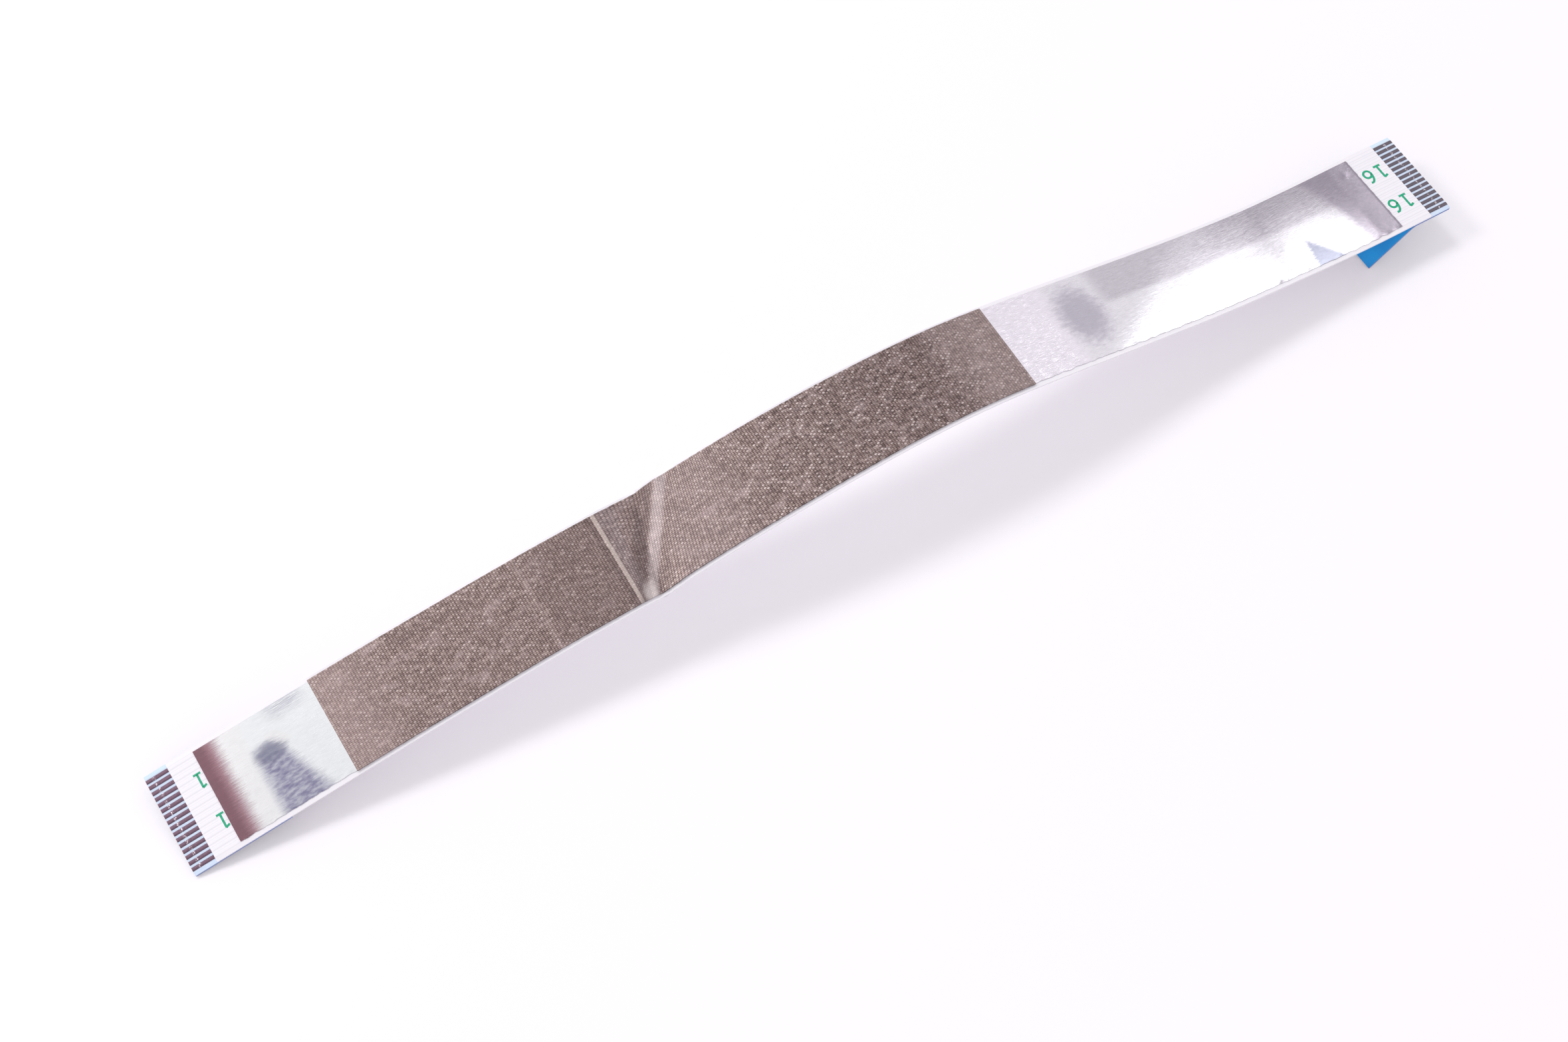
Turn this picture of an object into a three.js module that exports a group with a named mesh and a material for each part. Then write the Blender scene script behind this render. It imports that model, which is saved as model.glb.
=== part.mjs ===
// A shielded flat flex cable lying on a table: sixteen flat conductors between two white films,
// bare contacts at both ends, a blue stiffener under each end, an aluminium foil along the top and
// a woven conductive tape over the foil. The right stiffener runs on as a pull tab, bent down until
// its edge stands on the table. Millimetres, +X from the left end to the right, +Z up.
import * as THREE from "three";

// Laminate
const cableLength = 116;
const conductorCount = 16;
const conductorPitch = 0.5;
const conductorWidth = 0.3;
const conductorThickness = 0.05;
const filmThickness = 0.06;
const glueLine = 0.02; // clearance that the adhesive fills between two bonded layers

// Ends: the contacts are the stretches that the top film leaves bare
const leftContactLength = 1.85;
const rightContactLength = 2;
const stiffenerThickness = 0.2;
const leftStiffenerLength = 8;
const tabBondLength = 3.4; // the part of the right stiffener that is stuck to the cable
const tabBendRadius = 1; // to the middle of its thickness
const tabFold = 44; // degrees down from the cable's underside

// Shield: the foil's margins leave white film showing on all four sides
const foilThickness = 0.04;
const foilSideMargin = 0.35;
const leftFoilMargin = 2.15;
const rightFoilMargin = 2.9;
const tapeThickness = 0.1;
const tapeSideMargin = 0.25;
const tapeSetback = 9.7; // from the foil's left end to the tape's
const tapeLength = 59;

// The way the cable lies. Its two ends are flat, and the stretch between them bends. There each row
// gives a place, as a share of the bent stretch, and in degrees how steeply the cable climbs to
// the right, how far its far edge is banked up, and how far its cross lines lean to the right at the
// far edge. The quick changes of climb are the two creases, of which the second runs aslant.
const rightFlatLength = 7;
const leftEndWay = { climb: 11, bank: 6.5, lean: 0 };
const rightEndWay = { climb: -1, bank: 0, lean: 0 };
const bentWay = [
  { share: 0.1, climb: 10, bank: 6, lean: 0 },
  { share: 0.2, climb: 8, bank: 6, lean: 0 },
  { share: 0.292, climb: 4, bank: 6, lean: 0 },
  { share: 0.297, climb: 1, bank: 6, lean: 0 },
  { share: 0.319, climb: 1, bank: 6, lean: 16 },
  { share: 0.325, climb: 18, bank: 2.5, lean: 20 },
  { share: 0.338, climb: 20, bank: 2, lean: 20 },
  { share: 0.345, climb: 13, bank: 2.5, lean: 18 },
  { share: 0.416, climb: 9, bank: 3.5, lean: 0 },
  { share: 0.485, climb: 5, bank: 3, lean: 0 },
  { share: 0.555, climb: 0, bank: 1, lean: 0 },
  { share: 0.624, climb: -9, bank: 0, lean: 0 },
  { share: 0.703, climb: -12.5, bank: 0, lean: 0 },
  { share: 0.812, climb: -11, bank: -1, lean: 0 },
  { share: 0.911, climb: -5.5, bank: -3, lean: 0 },
];
const longestFacet = 2.6; // along the bent stretch
const facetRows = [-0.5, 0, 0.5]; // folds of the wide layers, as shares of the half width

// Worked out from the sizes above
const cableWidth = (conductorCount + 1) * conductorPitch;
const halfWidth = cableWidth / 2;
const conductorTop = conductorThickness / 2; // heights are from the laminate's middle plane
const filmLow = conductorTop + glueLine;
const filmHigh = filmLow + filmThickness;
const stiffenerHigh = -filmHigh - glueLine;
const stiffenerLow = stiffenerHigh - stiffenerThickness;
const foilLow = filmHigh + glueLine;
const foilHigh = foilLow + foilThickness;
const tapeLow = foilHigh + glueLine;
const foilStart = leftContactLength + leftFoilMargin;
const foilEnd = cableLength - rightContactLength - rightFoilMargin;
const tapeStart = foilStart + tapeSetback;

const radians = THREE.MathUtils.degToRad;

// One cross line of the cable's middle surface: its place along the cable, its middle point, and
// the directions along the cable, across it (with the lean in it) and out of its top face.
function crossLine(at, point, way) {
  const climb = radians(way.climb);
  const bank = radians(way.bank);
  const along = new THREE.Vector3(Math.cos(climb), 0, Math.sin(climb));
  const square = new THREE.Vector3(0, 1, 0).applyAxisAngle(along, bank);
  const up = new THREE.Vector3().crossVectors(along, square);
  const across = square.clone().addScaledVector(along, Math.tan(radians(way.lean)));
  return { at, point, along, square, across, up };
}

// The way at every place where the cable has a cross line.
function placesAlong() {
  const bentLength = cableLength - leftStiffenerLength - rightFlatLength;
  const rows = [
    { ...leftEndWay, at: leftStiffenerLength },
    ...bentWay.map((row) => ({ ...row, at: leftStiffenerLength + row.share * bentLength })),
    { ...rightEndWay, at: cableLength - rightFlatLength },
  ];
  const places = [{ ...leftEndWay, at: 0 }, rows[0]];
  for (let i = 1; i < rows.length; i++) {
    const [a, b] = [rows[i - 1], rows[i]];
    const steps = Math.ceil((b.at - a.at) / longestFacet);
    for (let step = 1; step <= steps; step++) {
      const mix = (key) => THREE.MathUtils.lerp(a[key], b[key], step / steps);
      places.push({ at: mix("at"), climb: mix("climb"), bank: mix("bank"), lean: mix("lean") });
    }
  }
  places.push({ ...rightEndWay, at: cableLength });
  return places;
}

// The middle surface as a row of cross lines. The left end's lowest corner stands on the table.
function middleSurface() {
  const first = crossLine(0, new THREE.Vector3(), leftEndWay);
  const cornerDrop = halfWidth * Math.abs(first.square.z) - stiffenerLow * first.up.z;
  const point = new THREE.Vector3(0, 0, cornerDrop);
  const lines = [];
  for (const place of placesAlong()) {
    const line = crossLine(place.at, null, place);
    const before = lines.at(-1);
    if (before) {
      const step = place.at - before.at;
      point.addScaledVector(before.along, step / 2).addScaledVector(line.along, step / 2);
    }
    line.point = point.clone();
    lines.push(line);
  }
  return lines;
}

const surface = middleSurface();

// The cross line at any place along the cable, on the flat facet between its neighbours.
function crossLineAt(at) {
  const next = Math.max(1, surface.findIndex((line) => line.at >= at));
  const [a, b] = [surface[next - 1], surface[next]];
  const mix = (at - a.at) / (b.at - a.at);
  const between = (key) => a[key].clone().lerp(b[key], mix);
  return { point: between("point"), across: between("across"), up: between("up") };
}

// A flat blank laid along the cable. start and end are places along the cable, rows are the places
// across it of the blank's edges and folds, and low and high are its faces above the middle plane.
function laidBlank({ start, end, rows, low, high }) {
  const inside = surface.map((line) => line.at).filter((at) => at > start && at < end);
  const cuts = [start, ...inside, end].map(crossLineAt);
  const [steps, columns, thickness] = [cuts.length - 1, rows.length - 1, high - low];
  const geometry = new THREE.BoxGeometry(steps, columns, thickness, steps, columns, 1);
  geometry.translate(steps / 2, columns / 2, (low + high) / 2);
  const corner = new THREE.Vector3();
  const position = geometry.getAttribute("position");
  for (let i = 0; i < position.count; i++) {
    const cut = cuts[Math.round(position.getX(i))];
    corner.copy(cut.point);
    corner.addScaledVector(cut.across, rows[Math.round(position.getY(i))]);
    corner.addScaledVector(cut.up, position.getZ(i));
    position.setXYZ(i, corner.x, corner.y, corner.z);
  }
  geometry.computeVertexNormals();
  return geometry;
}

// A wide layer, with the same margin on both sides of the cable. All wide layers share the rows
// inside their edges, so that their facets lie parallel.
function wideLayer({ start, end, margin, low, high }) {
  const edge = halfWidth - margin;
  const shared = facetRows.map((share) => share * halfWidth);
  return laidBlank({ start, end, rows: [-edge, ...shared, edge], low, high });
}

// Conductor number i, counted from the near edge. It runs flush with both ends.
function conductorGeometry(i) {
  const middle = i * conductorPitch - halfWidth;
  return laidBlank({
    start: 0,
    end: cableLength,
    rows: [middle - conductorWidth / 2, middle + conductorWidth / 2],
    low: -conductorTop,
    high: conductorTop,
  });
}

// The right stiffener seen from its near edge: x runs back from the cable's end and y is height
// above the cable's middle plane. The bonded plate turns down round the bend into the tab, whose
// under edge reaches the table.
function pullTabProfile(end) {
  const fold = radians(tabFold);
  const dive = fold + radians(rightEndWay.climb); // the tab's fall towards the left, from level
  const half = stiffenerThickness / 2;
  const centreY = stiffenerHigh - half - tabBendRadius;
  const bendX = -tabBondLength - tabBendRadius * Math.sin(fold);
  const bendY = centreY + tabBendRadius * Math.cos(fold);
  const bendHeight = end.point.z + bendX * end.along.z + bendY * end.up.z;
  const tabLength = (bendHeight - half * Math.cos(dive)) / Math.sin(dive);
  const tipX = bendX - tabLength * Math.cos(fold);
  const tipY = bendY - tabLength * Math.sin(fold);
  const sideX = half * Math.sin(fold);
  const sideY = half * Math.cos(fold);
  const [upright, turned] = [Math.PI / 2, Math.PI / 2 + fold];
  const profile = new THREE.Shape();
  profile.moveTo(0, stiffenerLow);
  profile.lineTo(0, stiffenerHigh);
  profile.absarc(-tabBondLength, centreY, tabBendRadius + half, upright, turned, false);
  profile.lineTo(tipX - sideX, tipY + sideY);
  profile.lineTo(tipX + sideX, tipY - sideY);
  profile.absarc(-tabBondLength, centreY, tabBendRadius - half, turned, upright, true);
  return profile;
}

function pullTabGeometry() {
  const end = surface.at(-1);
  const geometry = new THREE.ExtrudeGeometry(pullTabProfile(end), {
    depth: cableWidth,
    bevelEnabled: false,
    curveSegments: 4,
  });
  const farSide = end.point.clone().addScaledVector(end.square, halfWidth);
  const place = new THREE.Matrix4();
  place.makeBasis(end.along, end.up, end.square.clone().negate()).setPosition(farSide);
  return geometry.applyMatrix4(place);
}

const finishes = {
  film: { color: 0xf3f2f5, roughness: 0.45, metalness: 0 },
  conductor: { color: 0x9a9599, roughness: 0.35, metalness: 0.9 },
  stiffener: { color: 0x0f82cc, roughness: 0.4, metalness: 0 },
  foil: { color: 0xc9c8cf, roughness: 0.25, metalness: 1 },
  tape: { color: 0x82766e, roughness: 0.6, metalness: 0.4 },
};

function piece(name, geometry, finish) {
  const mesh = new THREE.Mesh(geometry, new THREE.MeshStandardMaterial(finishes[finish]));
  mesh.name = name;
  return mesh;
}

function laminate() {
  const group = new THREE.Group();
  const full = { start: 0, end: cableLength, margin: 0, low: -filmHigh, high: -filmLow };
  const covered = {
    start: leftContactLength,
    end: cableLength - rightContactLength,
    margin: 0,
    low: filmLow,
    high: filmHigh,
  };
  group.add(piece("bottom_film", wideLayer(full), "film"));
  for (let i = 1; i <= conductorCount; i++) {
    const number = String(i).padStart(2, "0");
    group.add(piece(`conductor_${number}`, conductorGeometry(i), "conductor"));
  }
  group.add(piece("top_film", wideLayer(covered), "film"));
  return group;
}

function stiffeners() {
  const group = new THREE.Group();
  const left = wideLayer({
    start: 0,
    end: leftStiffenerLength,
    margin: 0,
    low: stiffenerLow,
    high: stiffenerHigh,
  });
  group.add(piece("left_stiffener", left, "stiffener"));
  group.add(piece("pull_tab_stiffener", pullTabGeometry(), "stiffener"));
  return group;
}

function shield() {
  const group = new THREE.Group();
  const foil = wideLayer({
    start: foilStart,
    end: foilEnd,
    margin: foilSideMargin,
    low: foilLow,
    high: foilHigh,
  });
  const tape = wideLayer({
    start: tapeStart,
    end: tapeStart + tapeLength,
    margin: tapeSideMargin,
    low: tapeLow,
    high: tapeLow + tapeThickness,
  });
  group.add(piece("shield_foil", foil, "foil"));
  group.add(piece("shield_tape", tape, "tape"));
  return group;
}

const cable = new THREE.Group();
cable.add(laminate(), stiffeners(), shield());

// The origin is on the table, under the middle of the cable.
const middle = new THREE.Box3().setFromObject(cable).getCenter(new THREE.Vector3());
cable.position.set(-middle.x, -middle.y, 0);

export default cable;
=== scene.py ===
"""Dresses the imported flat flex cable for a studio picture.

Every layer of the cable is made flat, as it is cut, and is then laid along the route that the CAD
model follows. Flat sizes are in millimetres, and the finished meshes are in metres.
"""

import logging
import math
from abc import ABC, abstractmethod
from collections.abc import Callable, Sequence
from dataclasses import dataclass, field
from enum import Enum
from functools import cached_property
from typing import Any

import bmesh
import bpy
import numpy as np
from mathutils import Matrix, Vector


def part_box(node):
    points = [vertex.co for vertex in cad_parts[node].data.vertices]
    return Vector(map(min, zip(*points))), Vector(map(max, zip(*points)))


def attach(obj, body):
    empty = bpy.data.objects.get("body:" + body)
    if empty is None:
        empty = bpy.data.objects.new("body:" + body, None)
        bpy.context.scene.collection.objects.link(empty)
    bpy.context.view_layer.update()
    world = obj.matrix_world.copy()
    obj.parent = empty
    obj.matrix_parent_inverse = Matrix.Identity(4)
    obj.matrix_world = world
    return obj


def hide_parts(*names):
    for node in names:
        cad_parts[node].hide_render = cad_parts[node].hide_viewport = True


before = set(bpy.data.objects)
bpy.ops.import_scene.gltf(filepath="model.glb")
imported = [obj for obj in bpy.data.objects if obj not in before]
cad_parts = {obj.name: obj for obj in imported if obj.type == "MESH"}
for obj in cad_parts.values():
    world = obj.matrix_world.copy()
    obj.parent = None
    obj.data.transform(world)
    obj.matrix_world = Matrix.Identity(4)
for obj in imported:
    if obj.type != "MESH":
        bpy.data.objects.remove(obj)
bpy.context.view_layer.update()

MM = 0.001
FLAT_MAP = "Flat"
WAVE_COUNT = 20
CROWN_ROWS = (-1, -0.86, -0.6, -0.3, 0, 0.3, 0.6, 0.86, 1)
DIMPLE_STEPS = (-0.1, -0.06, -0.03, 0.0, 0.03, 0.06, 0.1)
SIDE_MATERIAL, END_MATERIAL = 1, 2

log = logging.getLogger("flex_cable")

Points = np.ndarray
Relief = Callable[[Points], Points]
Feed = bpy.types.NodeSocket | float | tuple[float, ...]


class Slot(Enum):
    """The record's material slots."""

    FILM = "film"
    CONDUCTOR = "conductor"
    STIFFENER = "stiffener"
    FOIL = "foil"
    TAPE = "tape"


# Sizes of the laminate


@dataclass(frozen=True)
class Stack:
    """The laminate's sizes in millimetres. Heights are from its middle plane."""

    length: float = 116.0
    conductors: int = 16
    pitch: float = 0.5
    conductor_width: float = 0.3
    conductor_top: float = 0.03
    film_high: float = 0.105
    stiffener_high: float = -0.125
    stiffener_low: float = -0.325
    foil_low: float = 0.125
    foil_high: float = 0.165
    tape_low: float = 0.185
    tape_high: float = 0.285
    left_contacts: float = 1.85
    right_contacts: float = 2.0
    ridge_reach: tuple[float, float] = (0.11, 0.21)
    packed_film: tuple[float, float] = (-0.105, -0.045)

    @property
    def half_width(self) -> float:
        """Half of the cable's width."""
        return (self.conductors + 1) * self.pitch / 2

    def middle_of(self, conductor: int) -> float:
        """The place across the cable of a conductor's middle, counted from the near edge."""
        return conductor * self.pitch - self.half_width

    def ridge(self, across: Points) -> Points:
        """How far each place lies over a conductor.

        Args:
            across: places across the cable.

        Returns:
            From 0 between the conductors to 1 over the middle of one.
        """
        number = np.clip(np.round((across + self.half_width) / self.pitch), 1, self.conductors)
        away = np.abs(across + self.half_width - number * self.pitch)
        return 1 - smooth_step(away, *self.ridge_reach)


@dataclass(frozen=True)
class Way:
    """How the cable lies at one place: degrees of climb, bank and lean."""

    share: float
    climb: float
    bank: float
    lean: float = 0.0


@dataclass
class Route:
    """The bent middle surface that every layer follows.

    The rows are the CAD model's: each gives a place, as a share of the bent stretch between the
    two flat ends, and in degrees how steeply the cable climbs to the right, how far its far edge
    is banked up, and how far its cross lines lean to the right at the far edge.
    """

    stack: Stack
    left_flat: float = 8.0
    right_flat: float = 7.0
    step: float = 0.2
    left_way: Way = Way(0, 11, 6.5)
    right_way: Way = Way(1, -1, 0)
    bent_ways: tuple[Way, ...] = (
        Way(0.1, 10, 6),
        Way(0.2, 8, 6),
        Way(0.292, 4, 6),
        Way(0.297, 1, 6),
        Way(0.319, 1, 6, 16),
        Way(0.325, 18, 2.5, 20),
        Way(0.338, 20, 2, 20),
        Way(0.345, 13, 2.5, 18),
        Way(0.416, 9, 3.5),
        Way(0.485, 5, 3),
        Way(0.555, 0, 1),
        Way(0.624, -9, 0),
        Way(0.703, -12.5, 0),
        Way(0.812, -11, -1),
        Way(0.911, -5.5, -3),
    )
    shift: Points = field(default_factory=lambda: np.zeros(3))

    def __post_init__(self) -> None:
        """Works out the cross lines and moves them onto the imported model."""
        bent = self.stack.length - self.left_flat - self.right_flat
        ways = [self.left_way, *self.bent_ways, self.right_way]
        places = [self.left_flat + way.share * bent for way in ways]
        self.at = np.linspace(0, self.stack.length, round(self.stack.length / self.step) + 1)
        climb, bank, lean = (
            np.radians(np.interp(self.at, places, [getattr(way, key) for way in ways]))
            for key in ("climb", "bank", "lean")
        )
        zero = np.zeros_like(climb)
        self.along = np.stack([np.cos(climb), zero, np.sin(climb)], axis=1)
        lift = np.stack([-np.sin(climb), zero, np.cos(climb)], axis=1)
        level = np.array([[0.0, 1.0, 0.0]])
        turn, tilt = np.cos(bank)[:, None], np.sin(bank)[:, None]
        self.square = level * turn + lift * tilt
        self.up = np.cross(self.along, self.square)
        self.across = self.square + np.tan(lean)[:, None] * self.along
        drop = self.stack.half_width * self.square[0, 2] - self.stack.stiffener_low * self.up[0, 2]
        steps = np.diff(self.at)[:, None] * (self.along[1:] + self.along[:-1]) / 2
        start = np.array([[0.0, 0.0, drop]])
        self.point = np.concatenate([start, start + np.cumsum(steps, axis=0)])
        edge = self.stack.half_width
        corners = self.place(
            np.array([[0.0, y, z] for y in (-edge, edge) for z in self.stack.packed_film])
        )
        packed = np.array(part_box("bottom_film")[0])
        self.shift = np.array([packed[0] - corners[:, 0].min(), packed[1] - self._near(edge), 0])

    def _near(self, edge: float) -> float:
        """The least y of the bottom film's near edge, in metres."""
        rim = [[at, -edge, z] for at in self.at for z in self.stack.packed_film]
        return self.place(np.array(rim))[:, 1].min()

    def place(self, flat: Points) -> Points:
        """Lays flat points along the cable.

        Args:
            flat: one row a point: its place along the cable, across it and above its middle.

        Returns:
            The same points where the cable lies, in metres.
        """
        at = np.clip(flat[:, 0], 0, self.stack.length)
        point, along, across, up = (
            np.stack([np.interp(at, self.at, values[:, axis]) for axis in range(3)], axis=1)
            for values in (self.point, self.along, self.across, self.up)
        )
        spill = (flat[:, 0] - at)[:, None]
        laid = point + along * spill + across * flat[:, 1:2] + up * flat[:, 2:3]
        return laid * MM + self.shift

    def end_matrix(self) -> Matrix:
        """The right end's own axes: back along the cable is -x, across it is y, and up is z.

        Returns:
            The matrix, in millimetres.
        """
        matrix = Matrix.Identity(4)
        columns = (self.along[-1], self.square[-1], self.up[-1])
        for number, column in enumerate(columns):
            matrix.col[number] = (*column, 0.0)
        matrix.translation = Vector(self.point[-1] + self.shift / MM)
        return matrix


def smooth_step(values: Points, low: float, high: float) -> Points:
    """Rises smoothly from 0 at low to 1 at high.

    Args:
        values: what is stepped.
        low: where the step starts.
        high: where it ends.

    Returns:
        One share a value.
    """
    share = np.clip((values - low) / (high - low), 0, 1)
    return share * share * (3 - 2 * share)


def hump(values: Points, middle: float, reach: float) -> Points:
    """A smooth rise to 1 around one value.

    Args:
        values: what is tested.
        middle: where it is 1.
        reach: how far from there it has mostly gone.

    Returns:
        One share a value.
    """
    return np.exp(-(((values - middle) / reach) ** 2))


def waves(flat: Points, lengths: tuple[float, float], seed: int) -> Points:
    """Adds up sine waves in random directions, as an uneven sheet has them.

    Args:
        flat: flat points, one row each.
        lengths: the usual length of a wave along the cable and across it, in millimetres.
        seed: picks the waves.

    Returns:
        One height a point, for the most part from -1 to 1.
    """
    rng = np.random.default_rng(seed)
    angle, phase = rng.uniform(0, 2 * math.pi, (2, WAVE_COUNT))
    stretch = rng.uniform(0.6, 1.8, WAVE_COUNT)
    numbers = 2 * math.pi / stretch * np.array([np.cos(angle), np.sin(angle)])
    numbers /= np.array(lengths)[:, None]
    return np.sin(flat[:, :2] @ numbers + phase).sum(axis=1) / math.sqrt(WAVE_COUNT)


def edge_waves(flat: Points, length: float, seed: int) -> Points:
    """Waves that change along the cable only.

    Args:
        flat: flat points, one row each.
        length: the usual length of a wave.
        seed: picks the waves.

    Returns:
        One height a point.
    """
    return waves(flat * [1, 0, 1], (length, 1.0), seed)


# Meshes


@dataclass
class Blank:
    """A flat sheet on the cutting table, with the lines that divide it both ways."""

    cuts: Points
    rows: Points
    low: float
    high: float

    def shell(self) -> bmesh.types.BMesh:
        """Builds the closed flat sheet, in millimetres.

        Returns:
            The closed sheet.
        """
        shell = bmesh.new()
        steps, columns = len(self.cuts) - 1, len(self.rows) - 1
        bmesh.ops.create_grid(shell, x_segments=steps, y_segments=columns, size=0.5)
        for vertex in shell.verts:
            cut = self.cuts[round((vertex.co.x + 0.5) * steps)]
            row = self.rows[round((vertex.co.y + 0.5) * columns)]
            vertex.co = (cut, row, self.low)
        raised = bmesh.ops.extrude_face_region(shell, geom=shell.faces[:])["geom"]
        top = [item for item in raised if isinstance(item, bmesh.types.BMVert)]
        bmesh.ops.translate(shell, vec=(0, 0, self.high - self.low), verts=top)
        bmesh.ops.recalc_face_normals(shell, faces=shell.faces)
        return shell

    def mesh(self, name: str) -> bpy.types.Mesh:
        """The flat sheet as a mesh.

        Args:
            name: the mesh's name.

        Returns:
            The mesh, in millimetres.
        """
        return finished(self.shell(), name)


def finished(shell: bmesh.types.BMesh, name: str) -> bpy.types.Mesh:
    """Turns a bmesh into a mesh and frees it.

    Args:
        shell: what was modelled.
        name: the mesh's name.

    Returns:
        The mesh.
    """
    mesh = bpy.data.meshes.new(name)
    shell.to_mesh(mesh)
    shell.free()
    return mesh


def points_of(mesh: bpy.types.Mesh) -> Points:
    """The mesh's vertices, one row each.

    Args:
        mesh: what is read.

    Returns:
        One row a vertex.
    """
    points = np.zeros(len(mesh.vertices) * 3)
    mesh.vertices.foreach_get("co", points)
    return points.reshape(-1, 3)


def spread_lines(start: float, end: float, step: float) -> Points:
    """Evenly spaced lines from start to end, at most a step apart."""
    return np.linspace(start, end, max(1, math.ceil((end - start) / step)) + 1)


@dataclass
class Bench:
    """Where flat meshes become pieces of the cable."""

    route: Route

    def map_flat(self, mesh: bpy.types.Mesh, flat: Points) -> None:
        """Writes each point's flat place into the mesh's map.

        Args:
            mesh: the piece's mesh.
            flat: its flat points.
        """
        layer = mesh.uv_layers.new(name=FLAT_MAP)
        corners = np.zeros(len(mesh.loops), dtype=np.int32)
        mesh.loops.foreach_get("vertex_index", corners)
        layer.uv.foreach_set("vector", flat[corners, :2].ravel())

    def lay(self, mesh: bpy.types.Mesh, relief: Relief | None = None) -> bpy.types.Mesh:
        """Gives a flat mesh its relief and lays it along the cable.

        Args:
            mesh: the flat mesh, in millimetres.
            relief: moves the flat points by the piece's own unevenness.

        Returns:
            The same mesh, in place.
        """
        flat = points_of(mesh)
        self.map_flat(mesh, flat)
        laid = self.route.place(relief(flat.copy()) if relief else flat)
        mesh.vertices.foreach_set("co", laid.ravel())
        mesh.update()
        return mesh

    def show(
        self,
        mesh: bpy.types.Mesh,
        finish: "Finish | Sequence[Finish]",
        slot: Slot,
        nodes: Sequence[str] = (),
        sharp: float = 35,
    ) -> bpy.types.Object:
        """Adds a finished mesh to the scene as a piece of the cable.

        Args:
            mesh: the mesh, in place.
            finish: its finish, or one finish for each material number of its faces.
            slot: the record's material slot; not used.
            nodes: the CAD nodes that the piece stands for.
            sharp: edges turned more than this many degrees stay sharp.

        Returns:
            The piece.
        """
        piece = bpy.data.objects.new(mesh.name, mesh)
        bpy.context.scene.collection.objects.link(piece)
        for each in [finish] if isinstance(finish, Finish) else finish:
            mesh.materials.append(each.material())
        mesh.polygons.foreach_set("use_smooth", [True] * len(mesh.polygons))
        mesh.set_sharp_from_angle(angle=math.radians(sharp))
        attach(piece, "root")
        if nodes:
            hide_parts(*nodes)
        faces = sum(len(face.vertices) - 2 for face in mesh.polygons)
        log.info("%s: %d triangles", piece.name, faces)
        return piece


# Node graphs and the effects that finishes share


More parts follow.
